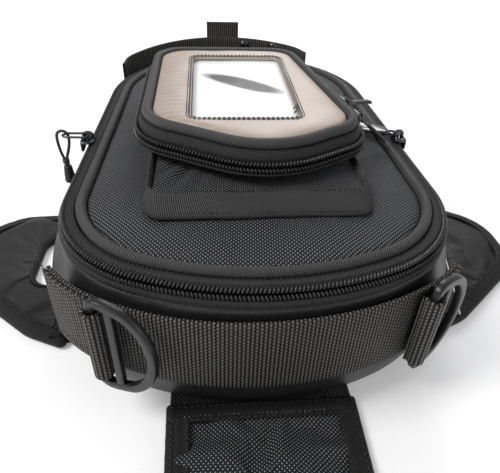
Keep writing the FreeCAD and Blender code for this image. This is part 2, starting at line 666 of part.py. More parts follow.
outward = Rotation(Vector(0, 0, 1), 180 - main_turn).multVec(Vector(pull + 0.6, 0, 0))
grip_body.Placement = Placement(Vector(*left_pin) + outward - Vector(0, 0, CORD_DROP + 0.9), Rotation())
keep("main_pull_left_grip", grip_body)


def flat_pull(name, position, turn, length, width, thickness, dip):
    """Puller: a wire through the bail that carries a moulded or webbing tongue."""
    reach = 5.0
    hook = wire_path(wire_loop(reach + 2, 2.2), WIRE)
    tongue = Part.makeBox(length, width, thickness, Vector(reach + 0.6, -width / 2, -thickness / 2))
    tongue = tongue.makeFillet(thickness * 0.3, tongue.Edges)
    return placed(name, hook.fuse(tongue), position, turn, dip)


flat_pull("main_pull_right", right_pin, 160 + main_turn, size("wide_pull_length"),
          size("wide_pull_width"), 2.4, -4.0)
for name, y, turn, dip in zip(("pocket_pull_front", "pocket_pull_rear"), POCKET_SLIDERS_Y, (-8.0, 32.0),
                              (40.0, 10.0)):
    pin = Rotation(Vector(0, 0, 1), pocket_turn).multVec(POCKET_PIN)
    flat_pull(name, (pocket_side(y) + pin.x, y + pin.y, pocket_slider_z + pin.z), turn,
              size("strap_pull_length"), size("strap_pull_width"), 1.6, dip)

# --------------------------------------------------------------------------- rear tab and its studs
tab_y = size("rim_rear") + size("rear_strap_gap") + webbing + 0.2
tab = primitive("Box", "tab_box", {"Length": "Sizes.tab_left + Sizes.tab_right",
                                   "Width": "Sizes.webbing_thickness",
                                   "Height": "Sizes.tab_top - Sizes.rear_strap_low - 8"},
                (-size("tab_left"), tab_y, size("rear_strap_low") + 8))
keep("rear_tab", tab)
studs = []
for i, x in enumerate((9.0, 31.0)):
    depth = size("rear_curve") + size("rear_strap_gap")
    y = size("rim_rear") - size("rear_curve") + math.sqrt(depth ** 2 - x ** 2)
    stud = doc.addObject("Part::Cylinder", f"stud_{i}")
    stud.Radius = 3.6
    stud.Height = 2.0
    inward = Vector(-x, size("rim_rear") - size("rear_curve") - y, 0)
    stud.Placement = Placement(Vector(x, y - 0.2, size("rear_strap_low") + 33.0),
                               Rotation(Vector(0, 0, 1), inward))
    studs.append(stud)
stud_group = doc.addObject("Part::Compound", "stud_group")
stud_group.Links = studs
keep("rear_studs", stud_group)

# --------------------------------------------------------------------------- card tag on the right wing
tag = primitive("Box", "tag_box", {"Length": "Sizes.tag_width", "Width": "Sizes.tag_length",
                                   "Height": "Sizes.tag_thickness"},
                (size("wing_root") + 1.0, -90.5, size("wing_height") + 0.15), -13.0)
keep("swing_tag", tag)

# --------------------------------------------------------------------------- check and write
doc.recompute()
for thing in doc.Objects:
    if "Invalid" in thing.State or "Error" in thing.State:
        raise RuntimeError(f"{thing.Name} failed: {thing.State}")
for node in nodes:
    if node.Shape.isNull() or not node.Shape.isValid() or node.Shape.Volume <= 0:
        raise RuntimeError(f"{node.Label} has no valid solid")
os.makedirs("parts", exist_ok=True)
for node in nodes:
    node.Shape.exportStep(f"parts/{node.Label}.step")
    box = node.Shape.BoundBox
    print(f"{node.Label:24s} {node.Shape.Volume:10.1f} mm3  solids {len(node.Shape.Solids)}  "
          f"x {box.XMin:.1f}..{box.XMax:.1f}  y {box.YMin:.1f}..{box.YMax:.1f}  "
          f"z {box.ZMin:.1f}..{box.ZMax:.1f}")
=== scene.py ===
import json
import math
from collections import namedtuple

import bmesh
import bpy
import numpy as np
from bpy.props import FloatProperty, FloatVectorProperty, PointerProperty
from mathutils import Matrix, Vector


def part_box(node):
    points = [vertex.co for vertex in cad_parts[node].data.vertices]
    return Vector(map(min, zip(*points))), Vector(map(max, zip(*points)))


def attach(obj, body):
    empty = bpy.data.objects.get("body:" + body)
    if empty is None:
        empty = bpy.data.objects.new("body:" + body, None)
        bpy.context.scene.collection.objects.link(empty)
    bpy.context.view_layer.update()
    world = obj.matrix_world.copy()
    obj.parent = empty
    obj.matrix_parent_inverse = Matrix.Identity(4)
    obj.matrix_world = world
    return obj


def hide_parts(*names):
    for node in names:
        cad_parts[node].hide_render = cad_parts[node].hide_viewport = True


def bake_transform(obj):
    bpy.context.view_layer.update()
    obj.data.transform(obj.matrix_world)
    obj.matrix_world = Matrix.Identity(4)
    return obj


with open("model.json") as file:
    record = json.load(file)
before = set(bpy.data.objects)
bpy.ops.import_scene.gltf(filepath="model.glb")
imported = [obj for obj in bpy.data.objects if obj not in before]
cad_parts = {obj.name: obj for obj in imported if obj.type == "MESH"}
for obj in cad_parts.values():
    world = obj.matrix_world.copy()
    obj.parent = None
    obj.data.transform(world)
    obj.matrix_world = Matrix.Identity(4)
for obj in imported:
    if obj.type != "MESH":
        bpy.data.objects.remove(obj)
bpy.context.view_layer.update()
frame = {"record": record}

bl_info = {
    "name": "Tank Bag",
    "version": (1, 0, 0),
    "blender": (4, 5, 0),
    "location": "View3D > Sidebar > Tank Bag",
    "description": "Builds the soft goods, zips and fittings of a small magnetic tank bag",
    "category": "Add Mesh",
}

MM = 0.001

# The painted reflection on the card: a dark lens-shaped patch that stands for a dark reflection across the
# window over it; its middle and half sizes in metres, and its turn in radians.
PAINTED_REFLECTION_PLACE = (-0.0026, -0.0040, 0)
PAINTED_REFLECTION_TURN = (0, 0, -0.611)
PAINTED_REFLECTION_SCALE = (0.0285, 0.0078, 1)

# Where the near strap with its loops ends on each side, and the far strap on the right: y in millimetres.
STRAP_END = {"left": -110, "right": -116}
FAR_STRAP_RIGHT_END = 122

# Turns in plan, in degrees.
RING_TURN = {"left": -25.7, "right": 36.0}
LOOP_FOLD_TURN = -64.5
POCKET_SLANT = 9.54
TAG_TURN = -13.0

Outline = namedtuple("Outline", "points normals along length")


# ------------------------------------------------------------------ what a user would change
def colour(name, description, value):
    """A colour property."""
    return FloatVectorProperty(name=name, description=description, default=value, size=3,
                               min=0.0, max=1.0, subtype="COLOR")


def span(name, description, value):
    """A length property in millimetres."""
    return FloatProperty(name=name, description=description, default=value, min=0.0)


class BagShape(bpy.types.PropertyGroup):
    """Curves of the bag that the frame's boxes do not give, in millimetres."""
    front_curve: span("Near end curve", "Radius of the near end in plan", 140.0)
    corner_curve: span("Corner curve", "Radius of the near corners in plan", 62.0)
    rear_curve: span("Far end curve", "Radius of the far end in plan", 88.0)
    belly_half: span("Bulge half width", "Half width where the wall bulges most", 103.0)
    belly_front: span("Bulge front", "Origin to the near end of the bulge", 147.0)
    belly_rear: span("Bulge rear", "Origin to the far end of the bulge", 145.0)
    belly_height: span("Bulge height", "Height of the fullest part of the wall", 30.0)
    tooth_pitch: span("Tooth pitch", "Distance from one zip tooth to the next", 1.68)
    rib_pitch: span("Webbing rib", "Distance from one rib of the webbing to the next", 1.65)
    weave_pitch: span("Weave pitch", "Width of one yarn of the ballistic cloth", 1.0)


class BagColours(bpy.types.PropertyGroup):
    """Base colours of the finishes."""
    leather: colour("Leather", "Side wall and wings", (0.015, 0.0152, 0.0165))
    cloth: colour("Ballistic cloth", "Lid and flap", (0.0085, 0.0088, 0.0094))
    oxford: colour("Oxford cloth", "Tray of the pocket", (0.011, 0.011, 0.0115))
    webbing: colour("Webbing", "Straps and loops", (0.0125, 0.0119, 0.0114))
    tape: colour("Tape", "Zip tapes and piping", (0.012, 0.0118, 0.012))
    coil: colour("Coil", "Zip teeth", (0.016, 0.016, 0.017))
    binding: colour("Binding", "Edge tape of wings and flap", (0.0085, 0.008, 0.0078))
    liner: colour("Liner", "Panel round the window", (0.42, 0.345, 0.295))
    lining: colour("Lining", "Inside of the bag", (0.020, 0.020, 0.022))
    plastic: colour("Plastic", "D-rings and puller", (0.009, 0.009, 0.0095))
    metal: colour("Metal", "Sliders and studs", (0.085, 0.087, 0.092))
    card: colour("Card", "Insert under the window", (0.86, 0.87, 0.88))


# ------------------------------------------------------------------ plan outlines, in millimetres
def low_high(node):
    """Lowest and highest corner of a CAD node in millimetres."""
    low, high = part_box(node)
    return np.array(low) * 1000, np.array(high) * 1000


def pivot(name):
    """Place in millimetres and axis of the frame's joint of that name."""
    joint = next(j for j in frame["record"]["behaviour"]["joints"] if j["name"] == name)
    return np.array(joint["pos_m"]) * 1000, np.array(joint["axis"])


def trace(runs, count, start=0.0, end=None):
    """Evenly spaced points along arcs (centre, radius, from, to) and straight runs (first, last).

    A point of an arc is centre + radius times (cos, sin) of its angle, and that (cos, sin) is its
    outward normal. A straight run's normal is its direction turned clockwise.
    """
    lengths = [run[1] * abs(run[3] - run[2]) if len(run) == 4 else math.dist(*run) for run in runs]
    total = sum(lengths)
    if end is None:
        along = np.arange(count) * total / count
    else:
        along = np.linspace(start * total, end * total, count)
    wrapped = np.mod(along, total)
    points, normals = np.zeros((count, 2)), np.zeros((count, 2))
    begin = 0.0
    for run, length in zip(runs, lengths):
        here = (wrapped >= begin) & (wrapped <= begin + length)
        share = ((wrapped[here] - begin) / length)[:, None]
        if len(run) == 4:
            angle = run[2] + (run[3] - run[2]) * share
            normals[here] = np.hstack([np.cos(angle), np.sin(angle)])
            points[here] = np.array(run[0]) + run[1] * normals[here]
        else:
            first, last = np.array(run[0]), np.array(run[1])
            points[here] = first + (last - first) * share
            normals[here] = np.array([last[1] - first[1], first[0] - last[0]]) / length
        begin += length
    return Outline(points, normals, along, total)


def bag_runs(half, front, rear, extra=0.0):
    """Runs of the bag's plan from the near middle round to it again, counter-clockwise.

    The near arc is centred on the axis, each corner arc touches it and the widest line, and a
    straight side touches the corner arc and the far arc.
    """
    shape = bpy.context.scene.bag_shape
    front_r, corner_r, rear_r = shape.front_curve, shape.corner_curve + extra, shape.rear_curve + extra
    front_y = front_r - front
    cx = half - corner_r
    cy = front_y - math.sqrt((front_r - corner_r) ** 2 - cx ** 2)
    ry = rear - rear_r
    gap = math.hypot(cx, ry - cy)
    share = (corner_r - rear_r) / gap
    along = (-cx / gap, (ry - cy) / gap)
    across = (along[1], -along[0])
    normal = [share * along[i] + math.sqrt(1 - share ** 2) * across[i] for i in (0, 1)]
    side, meet = math.atan2(normal[1], normal[0]), math.atan2(cy - front_y, cx)
    low = (cx + corner_r * normal[0], cy + corner_r * normal[1])
    high = (rear_r * normal[0], ry + rear_r * normal[1])
    pi = math.pi
    return [((0, front_y), front_r, -pi / 2, meet), ((cx, cy), corner_r, meet, side), (low, high),
            ((0, ry), rear_r, side, pi - side), ((-high[0], high[1]), (-low[0], low[1])),
            ((-cx, cy), corner_r, pi - side, pi - meet), ((0, front_y), front_r, pi - meet, 1.5 * pi)]


def rounded_runs(corners, radii):
    """Runs of a convex outline, counter-clockwise, whose corners are rounded by tangent arcs."""
    arcs = []
    for i, here in enumerate(corners):
        here = np.array(here, float)
        before = np.array(corners[i - 1], float) - here
        after = np.array(corners[(i + 1) % len(corners)], float) - here
        before, after = before / np.linalg.norm(before), after / np.linalg.norm(after)
        half = math.acos(np.clip(before @ after, -1, 1)) / 2
        reach = radii[i] / math.tan(half)
        middle = (before + after) / np.linalg.norm(before + after)
        centre = here + middle * radii[i] / math.sin(half)
        start, end = here + before * reach - centre, here + after * reach - centre
        first = math.atan2(start[1], start[0])
        turn = (math.atan2(end[1], end[0]) - first) % (2 * math.pi)
        arcs.append((tuple(centre), radii[i], first, first + turn, tuple(here + before * reach),
                     tuple(here + after * reach)))
    runs = []
    for i, arc in enumerate(arcs):
        runs += [arc[:4], (arc[5], arcs[(i + 1) % len(arcs)][4])]
    return runs


def box_runs(left, right, front, rear, radius):
    """Runs of a rectangle with rounded corners, from its near right corner."""
    return rounded_runs([(right, front), (right, rear), (left, rear), (left, front)], [radius] * 4)


def rim_runs():
    """Plan of the zip rim, from the tape's and the hinge band's boxes."""
    tape, band = low_high("zip_lower_tape"), low_high("hinge_band")
    return bag_runs(tape[1][0] + 0.2, 0.2 - tape[0][1], band[1][1] + 0.2)


def belly_runs():
    shape = bpy.context.scene.bag_shape
    return bag_runs(shape.belly_half, shape.belly_front, shape.belly_rear, 4.0)


def base_runs():
    low, high = low_high("base_panel")
    return bag_runs(high[0], -low[1], high[1])


def pocket_runs(outset=0.0):
    """Plan of the pocket: a bowed near side and a slanting right side, as shares of the coil's box."""
    low, high = low_high("pocket_lower_coil")
    shares = np.array([(0.5556, -0.0495), (1.0214, 0.1644), (0.8419, 1), (0, 1), (0, 0.1979)])
    corners = (low[:2] - 0.2) + shares * (high[:2] - low[:2] + 0.4)
    ahead = np.roll(corners, -1, 0) - corners
    ahead /= np.linalg.norm(ahead, axis=1, keepdims=True)
    after = np.stack([ahead[:, 1], -ahead[:, 0]], 1)
    before = np.roll(after, 1, 0)
    moved = corners + outset * (after + before) / (1 + (after * before).sum(1))[:, None]
    return rounded_runs(moved, [r + outset for r in (48, 25, 24, 24, 32)])


def tray_runs(inset, slide=0.0):
    """Plan of the tray: a rounded box whose near side slides back."""
    low, high = low_high("pocket_tray")
    return box_runs(low[0] + inset, high[0] - inset, low[1] + inset + slide, high[1] - inset,
                    max(9.0 - inset, 3.0))


def window_runs(margin):
    low, high = low_high("window_card")
    return box_runs(low[0] + 4 - margin, high[0] - 4 + margin, low[1] + 4 - margin, high[1] - 4 + margin,
                    3.0 + max(margin, 0))


# ------------------------------------------------------------------ surfaces
def ring(outline, profile):
    """Grid: each outline point moved inwards along its normal by the profile's inset, at its height."""
    inset, height = np.array(profile, float).T
    flat = outline.points[:, None, :] - inset[None, :, None] * outline.normals[:, None, :]
    tall = np.broadcast_to(height[None, :, None], flat.shape[:2] + (1,))
    return np.concatenate([flat, tall], 2)


def soften(profile, rounds=2, closed=False):
    """Corner cutting: each run keeps its middle half, so bends turn into curves."""
    points = np.array(profile, float)
    for _ in range(rounds):
        after = np.roll(points, -1, 0) if closed else points[1:]
        before = points if closed else points[:-1]
        cut = np.stack([before * 0.75 + after * 0.25, before * 0.25 + after * 0.75], 1).reshape(-1, 2)
        points = cut if closed else np.vstack([points[:1], cut, points[-1:]])
    return points


def circle_profile(inset, height, half_wide, half_tall, sides):
    """Closed ellipse, from its outer side over the top, as (inset, height)."""
    angle = np.linspace(0, 2 * math.pi, sides, endpoint=False)
    return np.stack([inset - half_wide * np.cos(angle), height + half_tall * np.sin(angle)], 1)


def ripple(points, size, strength, seed):
    """Smooth random dents: a sum of eight sine waves of about the given size, in every direction."""
    chance = np.random.default_rng(seed)
    total = np.zeros(points.shape[:-1])
    for _ in range(8):
        way = chance.normal(size=3)
        way *= 2 * math.pi / (np.linalg.norm(way) * size * chance.uniform(0.7, 1.6))
        total += np.sin(points @ way + chance.uniform(0, 2 * math.pi))
    return total * strength / 4


def grid_normals(grid, closed_along=True):
    """Unit normals of a grid, from the cross product of its two directions."""
    if closed_along:
        du = np.roll(grid, -1, 0) - np.roll(grid, 1, 0)
    else:
        du = np.gradient(grid, axis=0)
    dv = np.gradient(grid, axis=1)
    normal = np.cross(du, dv)
    return normal / np.maximum(np.linalg.norm(normal, axis=2, keepdims=True), 1e-9)


class Piece:
    """Collects surfaces in millimetres, then makes one mesh object of them."""

    def __init__(self):
        self.points, self.faces, self.uvs, self.slots = [], [], [], []
        self.count = 0

    def grid(self, grid, close_along=False, close_across=False, slot=0, along=None):
        """Quads between neighbouring grid points; the UV map holds metres along and across."""
        rows, cols = grid.shape[:2]
        index = np.arange(rows * cols).reshape(rows, cols) + self.count
        i = np.arange(rows if close_along else rows - 1)[:, None]
        j = np.arange(cols if close_across else cols - 1)[None, :]
        n, m = (i + 1) % rows, (j + 1) % cols
        quads = np.stack([index[i, j], index[n, j], index[n, m], index[i, m]], -1).reshape(-1, 4)
        middle = grid[:, cols // 2]
        step_u = np.linalg.norm(np.roll(middle, -1, 0) - middle, axis=1)
        u = np.concatenate([[0], np.cumsum(step_u)])
        if along is not None:
            u = np.append(along, along[-1] + step_u[-1])
        middle = grid[rows // 2]
        v = np.concatenate([[0], np.cumsum(np.linalg.norm(np.roll(middle, -1, 0) - middle, axis=1))])
        shape = np.broadcast_shapes(i.shape, j.shape)
        uv = np.stack([np.stack([np.broadcast_to(u[a], shape), np.broadcast_to(v[b], shape)], -1)
                       for a, b in ((i, j), (i + 1, j), (i + 1, j + 1), (i, j + 1))], 2).reshape(-1, 4, 2)
        self.store(grid.reshape(-1, 3), quads, uv * MM, slot)
        return self

    def store(self, points, quads, uv, slot):
        self.points.append(points)
        self.faces.append(quads)
        self.uvs.append(uv)
        self.slots.append(np.full(len(quads), slot))
        self.count += len(points)

    def scatter(self, bead, centres, axes):
        """Copies of a bead: centre + a, b, c of each bead point along the three axes there."""
        points, quads = bead
        placed = centres[:, None, :] + np.einsum("pk,nkd->npd", points, axes)
        faces = quads[None] + (np.arange(len(centres)) * len(points))[:, None, None] + self.count
        flat = np.repeat(np.arange(len(centres)), len(quads))
        uv = np.repeat(np.stack([flat * 0.37 % 1, flat * 0.61 % 1], 1)[:, None, :], 4, 1)
        self.store(placed.reshape(-1, 3), faces.reshape(-1, 4), uv, 0)
        return self

    def build(self, name, materials, body=None, slot=None, replaces=(), mend=False, mirror=False):
        """The mesh object, in metres, smooth, riding on its body in place of the CAD nodes."""
        points = np.concatenate(self.points) * MM
        faces, uvs = np.concatenate(self.faces), np.concatenate(self.uvs)
        if mirror:
            points = points * (-1, 1, 1)
            faces, uvs = faces[:, ::-1], uvs[:, ::-1]
        mesh = bpy.data.meshes.new(name)
        mesh.from_pydata(points, [], faces)
        mesh.uv_layers.new(name="UVMap").data.foreach_set("uv", uvs.reshape(-1).astype(np.float32))
        mesh.polygons.foreach_set("use_smooth", np.ones(len(faces), bool))
        for material in materials if isinstance(materials, (list, tuple)) else [materials]:
            mesh.materials.append(material)
        mesh.polygons.foreach_set("material_index", np.concatenate(self.slots).astype(np.int32))
        if mend:
            shell = bmesh.new()
            shell.from_mesh(mesh)
            bmesh.ops.remove_doubles(shell, verts=shell.verts, dist=0.00002)
            bmesh.ops.recalc_face_normals(shell, faces=shell.faces)
            shell.to_mesh(mesh)
            shell.free()
        mesh.update()
        thing = bpy.data.objects.new(name, mesh)
        bpy.context.scene.collection.objects.link(thing)
        if replaces:
            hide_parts(*replaces)
        if body:
            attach(thing, body)
        return thing


def bead(long, wide, tall, cuts=2, power=2.0):
    """Rounded block: the points of a cut cube divided by their p-norm, times the half sizes."""
    step = np.linspace(-1, 1, cuts + 1)
    a, b = np.meshgrid(step, step, indexing="ij")
    sheets, quads = [], []
    index = np.arange((cuts + 1) ** 2).reshape(cuts + 1, cuts + 1)
    face = np.stack([index[:-1, :-1], index[1:, :-1], index[1:, 1:], index[:-1, 1:]], -1).reshape(-1, 4)
    for axis in range(3):
        for sign in (-1, 1):
            sheet = np.zeros((cuts + 1, cuts + 1, 3))
            sheet[..., axis] = sign
            sheet[..., (axis + 1) % 3], sheet[..., (axis + 2) % 3] = a, b
            quads.append((face if sign > 0 else face[:, ::-1]) + len(sheets) * (cuts + 1) ** 2)
            sheets.append(sheet.reshape(-1, 3))
    cube, quads = np.concatenate(sheets), np.concatenate(quads)
    cube, back = np.unique(np.round(cube, 6), axis=0, return_inverse=True)
    norm = (np.abs(cube) ** power).sum(1, keepdims=True) ** (1 / power)
    return cube / norm * (long, wide, tall), back.reshape(-1)[quads]


def block(piece, centre, size, axes=None, cuts=8, power=5.0):
    """One rounded block of the given full size."""
    axes = np.eye(3) if axes is None else np.array(axes, float)
    half = np.array(size, float) / 2
    return piece.scatter(bead(*half, cuts=cuts, power=power), np.array([centre], float), axes[None])


def sweep(path, wide, tall, hint, sides=12, closed=False, power=2.0):
    """Superellipse carried along a path: half width across the hint, half height along it.

    The side vector is the tangent crossed with the hint. An open path ends in rounded caps, whose
    rings shrink by a quarter circle.
    """
    path = np.array(path, float)
    if closed:
        tangent = np.roll(path, -1, 0) - np.roll(path, 1, 0)
    else:
        tangent = np.gradient(path, axis=0)
    tangent /= np.linalg.norm(tangent, axis=1, keepdims=True)
    hint = np.broadcast_to(np.array(hint, float), path.shape)
    side = np.cross(tangent, hint)
    side /= np.linalg.norm(side, axis=1, keepdims=True)
    rise = np.cross(side, tangent)
    size = np.ones(len(path))
    if not closed:
        cap = np.sin(np.linspace(0, math.pi / 2, 5))
        start = path[0] - tangent[0] * (min(wide, tall) * np.cos(np.linspace(0, math.pi / 2, 5)))[:, None]
        end = path[-1] + tangent[-1] * (min(wide, tall) * np.cos(np.linspace(math.pi / 2, 0, 5)))[:, None]
        path = np.vstack([start, path, end])
        size = np.concatenate([cap, size, cap[::-1]])
        side = np.vstack([np.repeat(side[:1], 5, 0), side, np.repeat(side[-1:], 5, 0)])
        rise = np.vstack([np.repeat(rise[:1], 5, 0), rise, np.repeat(rise[-1:], 5, 0)])
    angle = np.linspace(0, 2 * math.pi, sides, endpoint=False)
    across = np.sign(np.cos(angle)) * np.abs(np.cos(angle)) ** (2 / power) * wide
    up = np.sign(np.sin(angle)) * np.abs(np.sin(angle)) ** (2 / power) * tall
    return (path[:, None, :] + size[:, None, None] * (side[:, None, :] * across[None, :, None]
                                                      + rise[:, None, :] * up[None, :, None]))


def curve(points, count, closed=False):
    """Smooth path through points: a Catmull-Rom spline, sampled evenly along its length."""
    points = np.array(points, float)
    if closed:
        ends = np.vstack([points[-1:], points, points[:2]])
    else:
        ends = np.vstack([2 * points[:1] - points[1:2], points, 2 * points[-1:] - points[-2:-1]])
    t = np.linspace(0, 1, 24, endpoint=False)[None, :, None]
    p0, p1, p2, p3 = (ends[i:len(ends) - 3 + i, None, :] for i in range(4))
    spline = 0.5 * (2 * p1 + (p2 - p0) * t + (2 * p0 - 5 * p1 + 4 * p2 - p3) * t ** 2
                    + (3 * p1 - p0 - 3 * p2 + p3) * t ** 3)
    spline = spline.reshape(-1, points.shape[1])
    spline = np.vstack([spline, points[:1] if closed else points[-1:]])
    length = np.concatenate([[0], np.cumsum(np.linalg.norm(np.diff(spline, axis=0), axis=1))])
    places = np.linspace(0, length[-1], count + 1)[:-1] if closed else np.linspace(0, length[-1], count)
    return np.stack([np.interp(places, length, spline[:, k]) for k in range(points.shape[1])], 1)


def polar(outline, centre, count):
    """Distance from the centre to a convex outline, at evenly spaced angles."""
    away = outline.points - centre
    angle = np.arctan2(away[:, 1], away[:, 0])
    order = np.argsort(angle)
    turn = np.linspace(-math.pi, math.pi, count, endpoint=False)
    reach = np.interp(turn, angle[order], np.linalg.norm(away, axis=1)[order], period=2 * math.pi)
    return turn, reach


def stack(levels, centre, count):
    """Grid: outlines at rising heights, each met by the same rays from one centre."""
    columns = []
    for runs, height in levels:
        turn, reach = polar(trace(runs, 2400), centre, count)
        plan = centre + reach[:, None] * np.stack([np.cos(turn), np.sin(turn)], 1)
        columns.append(np.column_stack([plan, np.full(count, height)]))
    return np.stack(columns, 1)


# ------------------------------------------------------------------ shader nodes
def put(tree, kind, inputs=(), **settings):
    """A node whose inputs take values or other nodes' sockets."""
    node = tree.nodes.new(kind)
    for key, value in settings.items():
        setattr(node, key, value)
    for key, value in dict(inputs).items():
        if isinstance(value, bpy.types.NodeSocket):
            tree.links.new(value, node.inputs[key])
        else:
            node.inputs[key].default_value = value
    return node


def calc(tree, operation, *values):
    """One Math node."""
    return put(tree, "ShaderNodeMath", dict(enumerate(values)), operation=operation).outputs[0]


def blend_value(tree, factor, low, high):
    """low where the factor is 0, high where it is 1."""
    inputs = {"Value": factor, "To Min": low, "To Max": high}
    return put(tree, "ShaderNodeMapRange", inputs).outputs["Result"]


def blend_colour(tree, factor, low, high):
    node = put(tree, "ShaderNodeMix", {0: factor}, data_type="RGBA")
    for index, value in ((6, low), (7, high)):
        if isinstance(value, bpy.types.NodeSocket):
            tree.links.new(value, node.inputs[index])
        else:
            node.inputs[index].default_value = (*value[:3], 1)
    return node.outputs[2]


def group(name, inputs, outputs, fill):
    """A shader node group, built once."""
    if name in bpy.data.node_groups:
        return bpy.data.node_groups[name]
    tree = bpy.data.node_groups.new(name, "ShaderNodeTree")
    for label, kind, value in inputs:
        socket = tree.interface.new_socket(name=label, in_out="INPUT", socket_type=kind)
        if value is not None:
            socket.default_value = value
    for label, kind in outputs:
        tree.interface.new_socket(name=label, in_out="OUTPUT", socket_type=kind)
    source, sink = tree.nodes.new("NodeGroupInput"), tree.nodes.new("NodeGroupOutput")
    for label, socket in fill(tree, source.outputs).items():
        tree.links.new(socket, sink.inputs[label])
    return tree


def scaled(tree, source):
    """The vector in pitches, as separate coordinates: vector divided by the pitch in millimetres."""
    factor = calc(tree, "DIVIDE", 1000.0, source["Pitch"])
    vector = put(tree, "ShaderNodeVectorMath", {0: source["Vector"]}, operation="SCALE")
    tree.links.new(factor, vector.inputs["Scale"])
    split = put(tree, "ShaderNodeSeparateXYZ", {0: vector.outputs[0]})
    return split.outputs[0], split.outputs[1]


def crown(tree, value, power=0.6):
    """Rounded top of a yarn: the sine of half a turn per pitch, to a power."""
    wave = calc(tree, "ABSOLUTE", calc(tree, "SINE", calc(tree, "MULTIPLY", value, math.pi)))
    return calc(tree, "POWER", wave, power)


def basket_nodes(tree, source):
    """Plain weave: over and under swap from cell to cell, and each crossing is crowned both ways."""
    x, y = scaled(tree, source)
    cells = calc(tree, "ADD", calc(tree, "FLOOR", x), calc(tree, "FLOOR", y))
    over = calc(tree, "FLOORED_MODULO", cells, 2.0)
    cx, cy = crown(tree, x), crown(tree, y)
    warp = calc(tree, "MULTIPLY", cx, calc(tree, "MULTIPLY_ADD", cy, 0.75, 0.25))
    weft = calc(tree, "MULTIPLY", cy, calc(tree, "MULTIPLY_ADD", cx, 0.75, 0.25))
    high = calc(tree, "MULTIPLY", warp, over)
    low = calc(tree, "MULTIPLY", calc(tree, "MULTIPLY", weft, 0.78), calc(tree, "SUBTRACT", 1.0, over))
    height = calc(tree, "ADD", high, low)
    return {"Height": height, "Over": over}


def ribbed_nodes(tree, source):
    """Webbing: ribs across the strap, each broken into staggered stitches along its length."""
    x, y = scaled(tree, source)
    shift = calc(tree, "MULTIPLY", calc(tree, "FLOORED_MODULO", calc(tree, "FLOOR", x), 2.0), 0.5)
    stitch = crown(tree, calc(tree, "ADD", calc(tree, "MULTIPLY", y, 0.85), shift), 0.5)
    height = calc(tree, "MULTIPLY", crown(tree, x, 0.7), calc(tree, "MULTIPLY_ADD", stitch, 0.45, 0.55))
    return {"Height": height, "Over": stitch}


def twill_nodes(tree, source):
    """Twill: slanting ribs, x plus y, broken by the crossing yarns."""
    x, y = scaled(tree, source)
    slant = crown(tree, calc(tree, "ADD", x, y), 0.8)
    cross = crown(tree, calc(tree, "SUBTRACT", calc(tree, "MULTIPLY", x, 2.0), y), 0.5)
    height = calc(tree, "MULTIPLY", slant, calc(tree, "MULTIPLY_ADD", cross, 0.4, 0.6))
    return {"Height": height, "Over": slant}


def chevron_nodes(tree, source):
    """Bias tape: ribs that run up one way and back the other, so they meet in points."""
    x, y = scaled(tree, source)
    folded = calc(tree, "PINGPONG", y, 2.0)
    ribs = crown(tree, calc(tree, "ADD", x, calc(tree, "MULTIPLY", folded, 0.9)), 0.7)
    return {"Height": ribs, "Over": folded}


def grain_nodes(tree, source):
    """Leather grain: rounded cells with soft creases, over a slow unevenness."""
    factor = calc(tree, "DIVIDE", 1000.0, source["Pitch"])
    cells = put(tree, "ShaderNodeTexVoronoi", {"Vector": source["Vector"], "Scale": factor,
                                               "Randomness": 0.9}, feature="SMOOTH_F1")
    slow = put(tree, "ShaderNodeTexNoise", {"Vector": source["Vector"], "Detail": 4.0,
                                            "Scale": calc(tree, "MULTIPLY", factor, 0.12)})
    height = calc(tree, "SUBTRACT", 1.0, cells.outputs["Distance"])
    return {"Height": calc(tree, "MULTIPLY_ADD", slow.outputs[0], 0.6, height), "Over": slow.outputs[0]}


def wear_nodes(tree, source):
    """Handling: slow patches of dust and rubbed places, and a fine unevenness."""
    slow = put(tree, "ShaderNodeTexNoise", {"Vector": source["Vector"], "Scale": 22.0, "Detail": 5.0})
    fine = put(tree, "ShaderNodeTexNoise", {"Vector": source["Vector"], "Scale": 900.0, "Detail": 2.0})
    patches = put(tree, "ShaderNodeMapRange", {"Value": slow.outputs[0], "From Min": 0.42, "From Max": 0.72})
    return {"Patches": patches.outputs[0], "Fine": fine.outputs[0]}


WEAVES = {"basket": ("Basket weave", basket_nodes), "ribbed": ("Ribbed webbing", ribbed_nodes),
          "twill": ("Twill", twill_nodes), "chevron": ("Bias ribs", chevron_nodes),
          "grain": ("Leather grain", grain_nodes)}
PATTERN_INPUTS = [("Vector", "NodeSocketVector", None), ("Pitch", "NodeSocketFloat", 1.0)]
PATTERN_OUTPUTS = [("Height", "NodeSocketFloat"), ("Over", "NodeSocketFloat")]


